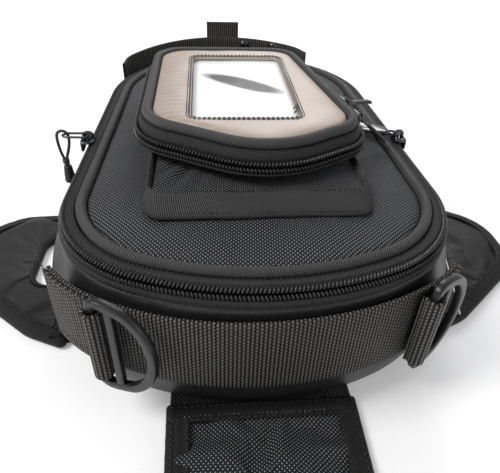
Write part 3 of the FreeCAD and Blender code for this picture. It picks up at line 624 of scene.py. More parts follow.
def finish(name, base, rough, weave, pitch, depth, place="UV", metallic=0.0, gap_tone_and_shade=0.8, crest_tone_and_highlight=1.3,
           spread=0.0, worn=0.25, turn=(0, 0, 0), coat=0.0, specular=0.5, alpha=1.0, extra=None):
    """A finish: its pattern group drives bump, colour and roughness, and wear lightens it in patches.

    Colour runs from the base times the gap factor to the base times the crest factor with the cubed height of
    the pattern, weighted by Over as far as spread says, then towards a lighter, dusty colour by the wear
    mask. The darkened gaps stand for shade between the yarns and the lightened crests for highlights on them,
    so this colour is partly painted shade and painted highlights, and mostly painted light where the factors
    are large, as on the cloths, tapes and webbing.
    """
    name = "bag_" + name
    if name in bpy.data.materials:
        return bpy.data.materials[name]
    material = bpy.data.materials.new(name)
    material.use_nodes = True
    tree = material.node_tree
    tree.nodes.clear()
    where = put(tree, "ShaderNodeTexCoord")
    mapping = put(tree, "ShaderNodeMapping", {"Vector": where.outputs[place], "Rotation": turn})
    label, fill = WEAVES[weave]
    pattern = put(tree, "ShaderNodeGroup")
    pattern.node_tree = group(label, PATTERN_INPUTS, PATTERN_OUTPUTS, fill)
    tree.links.new(mapping.outputs[0], pattern.inputs["Vector"])
    pattern.inputs["Pitch"].default_value = pitch
    wear = put(tree, "ShaderNodeGroup")
    wear.node_tree = group("Handling wear", PATTERN_INPUTS[:1],
                           [("Patches", "NodeSocketFloat"), ("Fine", "NodeSocketFloat")], wear_nodes)
    tree.links.new(where.outputs["Object"], wear.inputs["Vector"])
    height = pattern.outputs["Height"]
    # Painted light: bright is the crest colour with its painted highlight, dark is the gap colour with its
    # painted shade.
    bright = tuple(min(c * crest_tone_and_highlight, 1) for c in base)
    dark = tuple(c * gap_tone_and_shade for c in base)
    weight = calc(tree, "MULTIPLY_ADD", pattern.outputs["Over"], spread, 1.0 - spread)
    crest = calc(tree, "MULTIPLY", calc(tree, "POWER", height, 3.0), weight)
    colour_out = blend_colour(tree, crest, dark, bright)
    dusty = tuple(min(c * 1.25 + 0.004, 1) for c in base)
    colour_out = blend_colour(tree, calc(tree, "MULTIPLY", wear.outputs["Patches"], worn), colour_out, dusty)
    if extra:
        colour_out = extra(tree, where, colour_out)
    uneven = calc(tree, "MULTIPLY_ADD", wear.outputs["Fine"], 0.12, rough - 0.06)
    uneven = calc(tree, "MULTIPLY_ADD", wear.outputs["Patches"], 0.06, uneven)
    bump_height = calc(tree, "MULTIPLY_ADD", wear.outputs["Fine"], 0.25, height)
    bump = put(tree, "ShaderNodeBump", {"Strength": 1.0, "Distance": depth * MM, "Height": bump_height})
    shader = put(tree, "ShaderNodeBsdfPrincipled", {
        "Base Color": colour_out, "Roughness": uneven, "Metallic": metallic, "Normal": bump.outputs[0],
        "Coat Weight": coat, "Coat Roughness": 0.12,
        "Specular IOR Level": specular, "Alpha": alpha})
    sink = put(tree, "ShaderNodeOutputMaterial")
    tree.links.new(shader.outputs[0], sink.inputs[0])
    return material


def colours():
    return bpy.context.scene.bag_colours


def leather():
    return finish("leather", tuple(colours().leather), 0.44, "grain", 1.1, 0.16, place="Object",
                  gap_tone_and_shade=0.85, crest_tone_and_highlight=1.2, worn=0.5, coat=0.08, specular=0.4)


def smooth_leather():
    return finish("wing_leather", tuple(colours().leather), 0.55, "grain", 0.7, 0.10, place="Object",
                  gap_tone_and_shade=0.85, crest_tone_and_highlight=1.2, worn=0.5, specular=0.35)


def ballistic():
    # Painted light: the large crest factor paints a bright highlight on each yarn crossing and the small gap
    # factor paints shade between the yarns.
    return finish("ballistic_cloth", tuple(colours().cloth), 0.45, "basket",
                  bpy.context.scene.bag_shape.weave_pitch, 0.42, place="Object", turn=(0, 0, 0.08),
                  gap_tone_and_shade=0.08, crest_tone_and_highlight=36.0, spread=0.85, worn=0.03, specular=0.25)


def oxford():
    return finish("oxford_cloth", tuple(colours().oxford), 0.55, "twill", 0.9, 0.2, gap_tone_and_shade=0.15, crest_tone_and_highlight=12.0,
                  specular=0.15)


def webbing():
    # Painted light: the large crest factor paints highlights on the ribs of the webbing and the small gap
    # factor paints shade between them.
    return finish("webbing", tuple(colours().webbing), 0.55, "ribbed",
                  bpy.context.scene.bag_shape.rib_pitch, 0.5, gap_tone_and_shade=0.08, crest_tone_and_highlight=15.0, spread=0.6, worn=0.05,
                  specular=0.15)


def tape():
    return finish("zip_tape", tuple(colours().tape), 0.6, "twill", 0.9, 0.22, gap_tone_and_shade=0.1, crest_tone_and_highlight=8.0,
                  specular=0.15)


def piping_cloth():
    return finish("piping_cloth", tuple(colours().tape), 0.5, "chevron", 1.15, 0.35, gap_tone_and_shade=0.12, crest_tone_and_highlight=10.0,
                  specular=0.25)


def binding_tape():
    return finish("binding_tape", tuple(colours().binding), 0.55, "chevron", 1.1, 0.25, gap_tone_and_shade=0.4,
                  crest_tone_and_highlight=2.6, specular=0.25)


def coil():
    return finish("coil_nylon", tuple(colours().coil), 0.26, "grain", 0.9, 0.03, crest_tone_and_highlight=1.4)


def thread():
    return finish("thread", (0.03, 0.03, 0.031), 0.4, "twill", 0.25, 0.05, gap_tone_and_shade=0.5, crest_tone_and_highlight=2.4)


def plastic():
    return finish("ring_plastic", tuple(colours().plastic), 0.36, "grain", 0.5, 0.03, place="Object",
                  worn=0.4, crest_tone_and_highlight=1.1)


def gloss():
    return finish("gloss_moulding", (0.006, 0.0065, 0.007), 0.14, "grain", 3.0, 0.02, place="Object",
                  worn=0.2, coat=0.6)


def metal():
    return finish("dark_nickel", tuple(colours().metal), 0.24, "grain", 0.6, 0.015, place="Object",
                  metallic=1.0, worn=0.4)


def rubber():
    return finish("grip_rubber", (0.012, 0.012, 0.0125), 0.5, "grain", 0.6, 0.08, place="Object")


def lining():
    return finish("lining_cloth", tuple(colours().lining), 0.6, "twill", 0.5, 0.1, place="Object",
                  gap_tone_and_shade=0.5, crest_tone_and_highlight=2.0)


def liner():
    def stripes(tree, where, base):
        """Soft darker bands across the panel, stronger towards its left edge."""
        split = put(tree, "ShaderNodeSeparateXYZ", {0: where.outputs["Object"]})
        bands = crown(tree, calc(tree, "MULTIPLY", split.outputs[1], 210.0), 1.4)
        side = put(tree, "ShaderNodeMapRange",
                   {"Value": split.outputs[0], "From Min": 0.0, "From Max": -0.045})
        factor = calc(tree, "MULTIPLY", calc(tree, "MULTIPLY", bands, side.outputs[0]), 0.35)
        return blend_colour(tree, factor, base, (0.22, 0.17, 0.145))
    return finish("pocket_liner", tuple(colours().liner), 0.42, "grain", 0.9, 0.1, place="Object", gap_tone_and_shade=0.96,
                  crest_tone_and_highlight=1.04, worn=0.1, extra=stripes)


def card():
    def painted_reflection(tree, where, base):
        """Painted reflection: a dark lens-shaped patch painted on the card in place of a reflection across
        the window, a soft ellipse on turned coordinates.
        """
        place = {"Vector": where.outputs["Object"], "Location": PAINTED_REFLECTION_PLACE, "Rotation": PAINTED_REFLECTION_TURN,
                 "Scale": PAINTED_REFLECTION_SCALE}
        turned = put(tree, "ShaderNodeMapping", place, vector_type="TEXTURE")
        split = put(tree, "ShaderNodeSeparateXYZ", {0: turned.outputs[0]})
        reach = calc(tree, "SQRT", calc(tree, "ADD", calc(tree, "POWER", split.outputs[0], 2.0),
                                        calc(tree, "POWER", split.outputs[1], 2.0)))
        mask = put(tree, "ShaderNodeMapRange", {"Value": reach, "From Min": 1.0, "From Max": 0.72})
        # Blends the card towards near black inside the lens: this is painted reflection, not a mark of the
        # card.
        return blend_colour(tree, calc(tree, "MULTIPLY", mask.outputs[0], 0.97), base, (0.012, 0.010, 0.009))
    return finish("insert_card", tuple(colours().card), 0.6, "grain", 0.4, 0.03, place="Object", gap_tone_and_shade=0.98,
                  crest_tone_and_highlight=1.02, worn=0.05, extra=painted_reflection)


def film():
    return finish("clear_film", (0.8, 0.82, 0.84), 0.10, "grain", 9.0, 0.25, place="Object", gap_tone_and_shade=1.0,
                  crest_tone_and_highlight=1.0, worn=0.05, alpha=0.10, specular=0.8)


def tag_board():
    return finish("tag_board", (0.004, 0.004, 0.0045), 0.6, "grain", 0.3, 0.02, place="Object")


def tag_core():
    return finish("tag_core", (0.72, 0.69, 0.60), 0.7, "grain", 0.3, 0.02, place="Object",
                  gap_tone_and_shade=0.97, crest_tone_and_highlight=1.03)


# ------------------------------------------------------------------ parts shared by several pieces
def at(outline, inset, height):
    """Points of an outline at one inset and height."""
    flat = outline.points - inset * outline.normals
    return np.column_stack([flat, np.full(len(flat), height)])


def frames(outline, lean=0.0):
    """Tangent, outward and upward axes at each outline point, leaning outwards by an angle."""
    normal = np.column_stack([outline.normals, np.zeros(len(outline.normals))])
    tangent = np.column_stack([-outline.normals[:, 1], outline.normals[:, 0], np.zeros(len(normal))])
    up = np.broadcast_to([0.0, 0.0, 1.0], normal.shape)
    out = normal * math.cos(lean) + up * math.sin(lean)
    rise = up * math.cos(lean) - normal * math.sin(lean)
    return np.stack([tangent, out, rise], 1)


def tooth_row(piece, runs, inset, height, phase, slant=0.35, lean=0.0):
    """Coil zip: slanted beads, one per pitch, turned about the outward axis by the slant."""
    pitch = bpy.context.scene.bag_shape.tooth_pitch
    total = trace(runs, 4).length
    count = int(total / pitch)
    shift = phase * pitch / total
    outline = trace(runs, count, shift, 1.0 - pitch / total + shift)
    axes = frames(outline, lean)
    turned = axes.copy()
    turned[:, 0] = axes[:, 0] * math.cos(slant) + axes[:, 2] * math.sin(slant)
    turned[:, 2] = axes[:, 2] * math.cos(slant) - axes[:, 0] * math.sin(slant)
    return piece.scatter(bead(0.62, 1.2, 1.35, power=2.4), at(outline, inset, height), turned)


def stitch_row(piece, runs, inset, height, start=0.0, end=1.0, pitch=2.6, long=1.9, thick=0.34):
    """Lockstitch: flattened beads of thread, one per pitch, along an outline."""
    total = trace(runs, 4).length
    count = max(int(total * (end - start) / pitch), 2)
    outline = trace(runs, count, start, end)
    return piece.scatter(bead(long / 2, thick, thick, power=2.4), at(outline, inset, height), frames(outline))


def stitch_line(piece, path, pitch=2.6, long=1.9, thick=0.34, normal=(0, 0, 1)):
    """Lockstitch along any path: flattened beads whose long axis follows it."""
    path = np.array(path, float)
    length = np.linalg.norm(np.diff(path, axis=0), axis=1).sum()
    points = curve(path, max(int(length / pitch), 2))
    tangent = np.gradient(points, axis=0)
    tangent /= np.linalg.norm(tangent, axis=1, keepdims=True)
    up = np.broadcast_to(np.array(normal, float), tangent.shape)
    side = np.cross(up, tangent)
    side /= np.linalg.norm(side, axis=1, keepdims=True)
    axes = np.stack([tangent, side, np.cross(tangent, side)], 1)
    return piece.scatter(bead(long / 2, thick, thick, power=2.4), points, axes)


def span_of(runs, test, count=2000):
    """First and last share of the outline's length at which the test of (x, y) holds."""
    outline = trace(runs, count)
    held = np.nonzero(test(outline.points[:, 0], outline.points[:, 1]))[0]
    return held[0] / count, held[-1] / count


def strap(outline, offset, low, high, thick, edge=5, rib=0.16, sag=None):
    """Band of webbing: a stadium section stood on edge, with a raised rib per pitch along it."""
    pitch = bpy.context.scene.bag_shape.rib_pitch
    heights = np.linspace(low, high, 15)
    turn = np.linspace(0, math.pi, edge + 2)[1:-1]
    face = [(-offset - thick, h) for h in heights]
    over = [(-offset - thick / 2 - thick / 2 * math.cos(a), high + 0.35 * math.sin(a)) for a in turn]
    back = [(-offset, h) for h in heights[::-1]]
    under = [(-offset - thick / 2 + thick / 2 * math.cos(a), low - 0.35 * math.sin(a)) for a in turn]
    profile = np.array(face + over + back + under)
    grid = ring(outline, profile)
    wave = np.abs(np.sin(outline.along / pitch * math.pi)) ** 0.7 * rib
    weight = np.zeros(len(profile))
    weight[:len(face)] = 1.0
    grid[..., :2] += outline.normals[:, None, :] * (wave[:, None] * weight)[..., None]
    if sag is not None:
        grid += sag(grid, outline)
    return grid


def cushion(name, body, outer, hole, centre, low, high, crown_height, seed, material, mirror=False,
            replaces=(), pressure=4.0, slot=None):
    """Stuffed pad between an outline and a hole or a point, as a closed shell blown up as cloth.

    Each ray from the centre runs from the hole to the outline in even steps. Its height is the sine
    of half a turn to a power, or without a hole a dome that falls at the outline. Cloth with pressure
    then swells it between its pinned rims, capped at 4 mm, and may stretch a little, so it creases.
    """
    rays = 120
    turn, reach = polar(outer, centre, rays)
    start = polar(hole, centre, rays)[1] if hole is not None else np.full(rays, 0.5)
    share = np.linspace(0, 1, 22)
    radius = start[:, None] + (reach - start)[:, None] * share
    xy = np.stack([centre[0] + radius * np.cos(turn)[:, None], centre[1] + radius * np.sin(turn)[:, None]], 2)
    width = np.clip(np.minimum(reach - start, 30) / 30, 0.15, 1)[:, None]
    bow = np.sin(share * math.pi)[None] ** 0.55 * np.sqrt(width)
    if hole is None:
        bow = np.sqrt(np.clip(1 - share ** 6, 0, 1))[None] * np.ones_like(width)
    middle = (low + high) / 2
    top = middle + (high - middle + crown_height) * bow
    bottom = middle - (middle - low) * np.minimum(bow * 1.6, 1)
    creases = ripple(np.dstack([xy, np.zeros_like(top)]), 17.0, 0.7, seed) * bow
    upper = np.dstack([xy, top + creases])
    lower = np.dstack([xy, bottom])
    if hole is not None:
        shell = np.concatenate([upper[:, ::-1], lower[:, 1:-1]], 1)
    else:
        tip = np.repeat(upper[:, :1].mean(0)[None], rays, 0)
        shell = np.concatenate([lower[:, :-1], upper[:, :0:-1], tip], 1)
    piece = Piece().grid(shell, close_along=True, close_across=hole is not None)
    pad = piece.build(name, material, body=None, slot=slot, replaces=replaces, mend=True, mirror=mirror)
    stuff(pad, middle * MM, pressure, 0.004, low * MM)
    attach(pad, body)
    smooth = pad.modifiers.new("Smooth pad", "SUBSURF")
    smooth.levels = smooth.render_levels = 1
    return pad


def stuff(pad, seam_height, pressure, cap, floor):
    """Cloth under pressure, pinned at the rim, run for 20 frames and put back into the mesh."""
    mesh = pad.data
    start = np.empty(len(mesh.vertices) * 3, np.float32)
    mesh.vertices.foreach_get("co", start)
    start = start.reshape(-1, 3)
    rim = pad.vertex_groups.new(name="rim")
    held = np.nonzero(np.abs(start[:, 2] - seam_height) < 0.0007)[0]
    rim.add([int(i) for i in held], 1.0, "REPLACE")
    cloth = pad.modifiers.new("Stuffing", "CLOTH")
    cloth.settings.vertex_group_mass = "rim"
    cloth.settings.use_pressure = True
    cloth.settings.uniform_pressure_force = pressure
    cloth.settings.effector_weights.gravity = 0.0
    cloth.settings.shrink_min = -0.05
    cloth.settings.tension_stiffness = cloth.settings.compression_stiffness = 25
    cloth.settings.bending_stiffness = 0.6
    cloth.settings.quality = 5
    cloth.point_cache.frame_start, cloth.point_cache.frame_end = 1, 20
    for number in range(1, 21):
        bpy.context.scene.frame_set(number)
    shown = pad.evaluated_get(bpy.context.evaluated_depsgraph_get()).to_mesh()
    end = np.empty(len(shown.vertices) * 3, np.float32)
    shown.vertices.foreach_get("co", end)
    pad.modifiers.remove(cloth)
    bpy.context.scene.frame_set(1)
    move = np.nan_to_num(end.reshape(-1, 3) - start)
    far = np.linalg.norm(move, axis=1, keepdims=True)
    move *= np.minimum(1, cap / np.maximum(far, 1e-9))
    moved = start + move
    moved[:, 2] = np.maximum(moved[:, 2], floor)
    mesh.vertices.foreach_set("co", moved.reshape(-1).astype(np.float32))
    mesh.update()
    pad.vertex_groups.clear()


def sheet_normal(grid, amount, closed_along=True):
    """Moves a grid along its normals by an amount for each point."""
    return grid + grid_normals(grid, closed_along) * amount[..., None]


# ------------------------------------------------------------------ operators
class Maker(bpy.types.Operator):
    """Common ground of the operators: build() makes the pieces."""
    bl_options = {"REGISTER", "UNDO"}

    def execute(self, context):
        self.build()
        return {"FINISHED"}


class BAG_OT_wall(Maker):
    """Leather side wall with its turned rim and the base sheet under it"""
    bl_idname = "bag.wall"
    bl_label = "Side wall"

    def build(self):
        """Height z from 0 to 68 mm; the plan blends from base to bulge by a sine of z, then from
        bulge to rim by one minus a cosine, and smooth dents are added along the normals."""
        shape = bpy.context.scene.bag_shape
        count = 420
        base, belly, rim = (trace(runs, count).points for runs in (base_runs(), belly_runs(), rim_runs()))
        z = np.concatenate([[0.9, 0.2], np.linspace(0.8, 66.6, 44), [67.6, 68.2, 68.3]])
        up = np.clip(z / shape.belly_height, 0, 1)
        down = np.clip((z - shape.belly_height - 4) / (67 - shape.belly_height - 4), 0, 1)
        full = np.sin(up * math.pi / 2) ** 0.8
        near_rim = (1 - np.cos(down * math.pi / 2)) ** 0.85
        plan = (base[:, None] * (1 - full)[None, :, None] + belly[:, None] * full[None, :, None])
        plan = plan * (1 - near_rim)[None, :, None] + rim[:, None] * near_rim[None, :, None]
        grid = np.dstack([plan, np.broadcast_to(z, plan.shape[:2])])
        normals = trace(rim_runs(), count).normals
        tuck = np.array([3.0, 1.0] + [0.0] * 44 + [0.3, 1.6, 3.4])
        grid[..., :2] -= normals[:, None, :] * tuck[None, :, None]
        soft = np.sin(np.clip(z / 67, 0, 1) * math.pi)[None]
        grid = sheet_normal(grid, soft * (ripple(grid, 34, 0.55, 3) + ripple(grid, 12, 0.16, 4) - 0.5))
        Piece().grid(grid, close_along=True).build("side_wall", leather(), "bag", "leather",
                                                   ("body_wall", "wall_padding"))
        under = trace(base_runs(), 240)
        sheet = ring(under, [(0.6, 0.9), (0.8, 0.15), (2.0, 0.0), (20.0, 0.0), (60.0, 0.0)])
        centre = sheet[:, -1:].copy()
        centre[..., 0] *= 0.02
        sheet = np.concatenate([sheet, centre], 1)
        Piece().grid(sheet[:, ::-1], close_along=True).build("base_sheet", leather(), "bag", "leather",
                                                             ("base_panel",))
        thread_piece = Piece()
        stitch_row(thread_piece, rim_runs(), 0.9, 68.35, pitch=3.0, long=2.0)
        thread_piece.build("rim_thread", thread(), "bag", "thread")


class BAG_OT_inside(Maker):
    """Woven lining of the walls, quilted floor and the lid's lining"""
    bl_idname = "bag.inside"
    bl_label = "Lining"

    def build(self):
        """The lining follows the wall 6.6 mm inside it; the floor and lid lining shrink the outline
        towards the middle, with quilting as a product of two sines."""
        count = 260
        base, belly, rim = (trace(runs, count) for runs in (base_runs(), belly_runs(), rim_runs()))
        z = np.linspace(68.2, 5.2, 34)
        full = np.sin(np.clip(z / 30, 0, 1) * math.pi / 2)
        near = 1 - np.cos(np.clip((z - 34) / 33, 0, 1) * math.pi / 2)
        plan = base.points[:, None] * (1 - full)[None, :, None] + belly.points[:, None] * full[None, :, None]
        plan = plan * (1 - near)[None, :, None] + rim.points[:, None] * near[None, :, None]
        inset = 6.6 + 1.2 * np.sin(np.clip((68 - z) / 63, 0, 1) * math.pi)
        plan = plan - rim.normals[:, None] * inset[None, :, None]
        grid = np.dstack([plan, np.broadcast_to(z, plan.shape[:2])])
        grid[..., 2] += np.broadcast_to(ripple(grid, 25, 0.3, 6), grid.shape[:2])
        top = ring(rim, [(3.2, 68.25), (4.8, 68.5), (6.2, 68.35)])
        floor_plan = plan[:, -1]
        share = np.linspace(1, 0.002, 36)
        middle = np.array([0.0, -4.0])
        floor = middle + (floor_plan - middle)[:, None] * share[None, :, None]
        quilt = np.abs(np.sin(floor[..., 0] * math.pi / 34) * np.sin(floor[..., 1] * math.pi / 34)) ** 0.4
        floor = np.dstack([floor, 5.0 + 0.8 * quilt])
        whole = np.concatenate([top, grid, floor[:, 1:]], 1)
        Piece().grid(whole, close_along=True).build("inner_lining", lining(), "bag", "lining",
                                                    ("wall_lining", "base_board"))
        lid_edge = trace(rim_runs(), 220)
        inner = at(lid_edge, 5.6, 0)[:, :2]
        share = np.linspace(1, 0.002, 40)
        plan = middle + (inner - middle)[:, None] * share[None, :, None]
        quilt = np.abs(np.sin(plan[..., 0] * math.pi / 40) * np.sin(plan[..., 1] * math.pi / 40)) ** 0.4
        under = np.dstack([plan, 74.6 + 0.2 * quilt])
        Piece().grid(under[:, ::-1], close_along=True).build("lid_lining_cloth", lining(), "lid", "lining",
                                                             ("lid_lining",))


class BAG_OT_zip(Maker):
    """Main zip round the rim: tapes, two rows of coil, piping and the hinge gusset"""
    bl_idname = "bag.zip"
    bl_label = "Main zip"

    def build(self):
        """Every band is the rim outline times a rounded profile of (inset, height)."""
        runs = rim_runs()
        outline = trace(runs, 520)
        lower = soften([(0.5, 67.9), (0.1, 69.0), (0.0, 70.6), (0.5, 71.3), (1.2, 71.5), (4.6, 71.5),
                        (5.6, 71.2), (6.0, 69.0)], 2)
        grid = ring(outline, lower)
        grid[..., 2] += (outline.along % 2.6 < 1.3)[:, None] * 0.10
        Piece().grid(grid, close_along=True).build("lower_tape_cloth", tape(), "bag", "tape",
                                                   ("zip_lower_tape",))
        teeth = Piece()
        tooth_row(teeth, runs, 1.7, 72.75, 0.0, slant=0.45)
        teeth.build("lower_teeth", coil(), "bag", "coil", ("zip_lower_coil",))
        teeth = Piece()
        tooth_row(teeth, runs, 2.9, 75.3, 0.5, slant=-0.45, lean=0.35)
        teeth.build("upper_teeth", coil(), "lid", "coil", ("zip_upper_coil",))
        upper = soften([(5.4, 74.3), (4.2, 74.5), (3.6, 75.0), (3.9, 76.2), (4.8, 76.75), (6.4, 76.85),
                        (8.2, 76.5), (8.9, 75.0)], 2)
        Piece().grid(ring(outline, upper), close_along=True).build("upper_tape_cloth", tape(), "lid", "tape",
                                                                   ("zip_upper_tape",))
        seams = Piece()
        stitch_row(seams, runs, 4.6, 76.85, pitch=2.2, long=1.5, thick=0.3)
        stitch_row(seams, runs, 7.6, 76.8, pitch=2.2, long=1.5, thick=0.3)
        seams.build("upper_tape_thread", thread(), "lid", "thread")
        seams = Piece()
        stitch_row(seams, runs, 0.25, 70.2, pitch=2.4, long=1.7, thick=0.3)
        seams.build("lower_tape_thread", thread(), "bag", "thread")
        tube = ring(outline, circle_profile(11.1, 77.0, 2.45, 2.45, 18))
        Piece().grid(tube, close_along=True, close_across=True).build(
            "lid_piping_cord", piping_cloth(), "lid", "piping", ("lid_piping",))
        start, end = span_of(runs, lambda x, y: y > 104.5)
        back = trace(runs, 160, start, end)
        gusset = ring(back, soften([(0.9, 67.6), (-0.5, 69.4), (-0.5, 71.5), (0.4, 73.6), (2.6, 75.6),
                                    (5.2, 76.6)], 2))
        gusset = sheet_normal(gusset, ripple(gusset, 9, 0.25, 9), False)
        hinge = Piece().grid(gusset).build("hinge_gusset", tape(), None, "tape", ("hinge_band",))
        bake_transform(hinge)


class BAG_OT_lid(Maker):
    """Domed lid of ballistic cloth over padding"""
    bl_idname = "bag.lid"
    bl_label = "Lid"

    def build(self):
        """Rays from the middle to the piping; height rises by one minus e to the minus distance from
        the edge, with soft folds in a band along it."""
        outline = trace(rim_runs(), 420)
        edge = at(outline, 13.2, 0)[:, :2]
        middle = np.array([-2.0, -10.0])
        share = np.concatenate([np.linspace(1, 0.9, 16)[:-1], np.linspace(0.9, 0.3, 40), [0.1, 0.002]])
        plan = middle + (edge - middle)[:, None] * share[None, :, None]
        inside = np.linalg.norm(edge - middle, axis=1)[:, None] * (1 - share)[None]
        rise = 75.4 + 1.6 * (1 - np.exp(-inside / 1.6)) + 3.5 * (1 - np.exp(-inside / 15))
        grid = np.dstack([plan, rise])
        near = np.exp(-((inside - 16) / 12) ** 2)
        grid[..., 2] += near * (ripple(grid, 42, 0.75, 12) + ripple(grid, 16, 0.22, 13))
        Piece().grid(grid, close_along=True).build("lid_cloth", ballistic(), "lid", "ballistic_fabric",
                                                   ("lid_panel", "lid_padding"))
        seams = Piece()
        stitch_row(seams, rim_runs(), 14.4, 76.7, pitch=2.8, long=1.9, thick=0.3)
        seams.build("lid_thread", thread(), "lid", "thread")


class BAG_OT_pocket_tray(Maker):
    """Oxford tray, recess and lower half of the pocket's zip"""
    bl_idname = "bag.pocket_tray"
    bl_label = "Pocket tray"

    def build(self):
        """Outlines stacked over one centre: the band slants back as it rises and folds over its lip,
        and the recess climbs from inside it to the pocket's zip."""
        centre = np.array([-1.0, -15.0])
        near_side = low_high("pocket_tray")[0][1]
        levels = [(4.0, 0.0, 80.3), (0.8, 0.0, 80.4), (0.1, 0.0, 81.0), (0.0, 0.9, 82.2), (0.2, 3.4, 83.8),
                  (0.3, 6.2, 85.6), (0.4, 8.8, 87.1), (1.0, 9.4, 87.8), (1.9, 9.6, 87.8), (2.7, 9.6, 87.0),
                  (3.0, 9.6, 85.0), (3.4, 9.6, 83.4)]
        grid = stack([(tray_runs(inset, slide), height) for inset, slide, height in levels], centre, 520)
        grid = sheet_normal(grid, ripple(grid, 18, 0.45, 21) + ripple(grid, 8, 0.16, 22))
        Piece().grid(grid, close_along=True).build("tray_cloth", oxford(), "lid", "oxford_fabric",
                                                   ("pocket_tray",))
        floor = stack([(tray_runs(3.2, 9.6), 85.6), (pocket_runs(-13.0), 87.6)], centre, 520)
        floor[:, 1, :2] = centre + (floor[:, 1, :2] - centre) * np.minimum(
            1, 0.97 * np.linalg.norm(floor[:, 0, :2] - centre, axis=1)
            / np.linalg.norm(floor[:, 1, :2] - centre, axis=1))[:, None]
        rise = stack([(pocket_runs(-12.0), 88.6), (pocket_runs(-10.6), 89.8), (pocket_runs(-8.0), 91.0),
                      (pocket_runs(-5.0), 91.7)], centre, 520)
        share = np.linspace(0, 1, 5)[None, 1:-1, None]
        between = floor[:, :1] + (floor[:, 1:] - floor[:, :1]) * share
        recess = np.concatenate([floor[:, :1], between, floor[:, 1:], rise], 1)
        angle = np.linspace(-math.pi, math.pi, 520, endpoint=False)
        pleats = np.exp(-((angle + 2.15) / 0.22) ** 2) * np.sin(angle * 46)
        recess[..., 2] += pleats[:, None] * np.array([0, 0.5, 0.9, 0.9, 0.6, 0.5, 0.3, 0.1, 0])[None]
        recess[:, 1:-2] = sheet_normal(recess, ripple(recess, 12, 0.4, 24))[:, 1:-2]
        Piece().grid(recess, close_along=True).build("recess_cloth", ballistic(), "lid", "ballistic_fabric",
                                                     ("pocket_recess",))
        inner = ring(trace(pocket_runs(-14.2), 240), [(0.0, 91.8), (0.2, 88.6), (0.3, 86.0), (1.2, 84.9)])
        floor = centre + (inner[:, -1:, :2] - centre) * np.linspace(0.97, 0.003, 24)[None, :, None]
        floor = np.dstack([floor, np.full(floor.shape[:2], 84.8)])
        Piece().grid(np.concatenate([inner, floor], 1), close_along=True).build(
            "tray_lining", lining(), "lid", "lining")
        seams = Piece()
        stitch_row(seams, tray_runs(1.3, 9.5), 0.0, 88.0, pitch=2.4, long=1.7, thick=0.3)
        x = np.linspace(-44, 44, 40)
        stitch_line(seams, np.column_stack([x, np.full(40, near_side + 1.7), np.full(40, 82.8)]), thick=0.3,
                    normal=(0, -0.6, 0.8))
        stitch_line(seams, [(-3, -87.6, 86.4), (-3, -80.5, 87.6), (-3, -75.6, 89.0)], pitch=1.2, long=0.9,
                    thick=0.3, normal=(0, -1, 0))
        seams.build("tray_thread", thread(), "lid", "thread")
        edge = pocket_runs()
        outline = trace(edge, 420)
        lower = soften([(13.2, 91.7), (2.4, 91.7), (0.9, 91.9), (0.5, 92.6), (1.0, 93.1), (3.0, 93.2),
                        (13.0, 93.2), (13.6, 92.4)], 2)
        Piece().grid(ring(outline, lower), close_along=True).build(
            "pocket_lower_tape_cloth", tape(), "lid", "tape", ("pocket_lower_tape",))
        teeth = Piece()
        tooth_row(teeth, edge, 1.4, 94.4, 0.0, slant=0.45)
        teeth.build("pocket_lower_teeth", coil(), "lid", "coil", ("pocket_lower_coil",))
        seams = Piece()
        stitch_row(seams, edge, 1.6, 91.75, pitch=2.2, long=1.5, thick=0.28)
        seams.build("pocket_lower_thread", thread(), "lid", "thread")


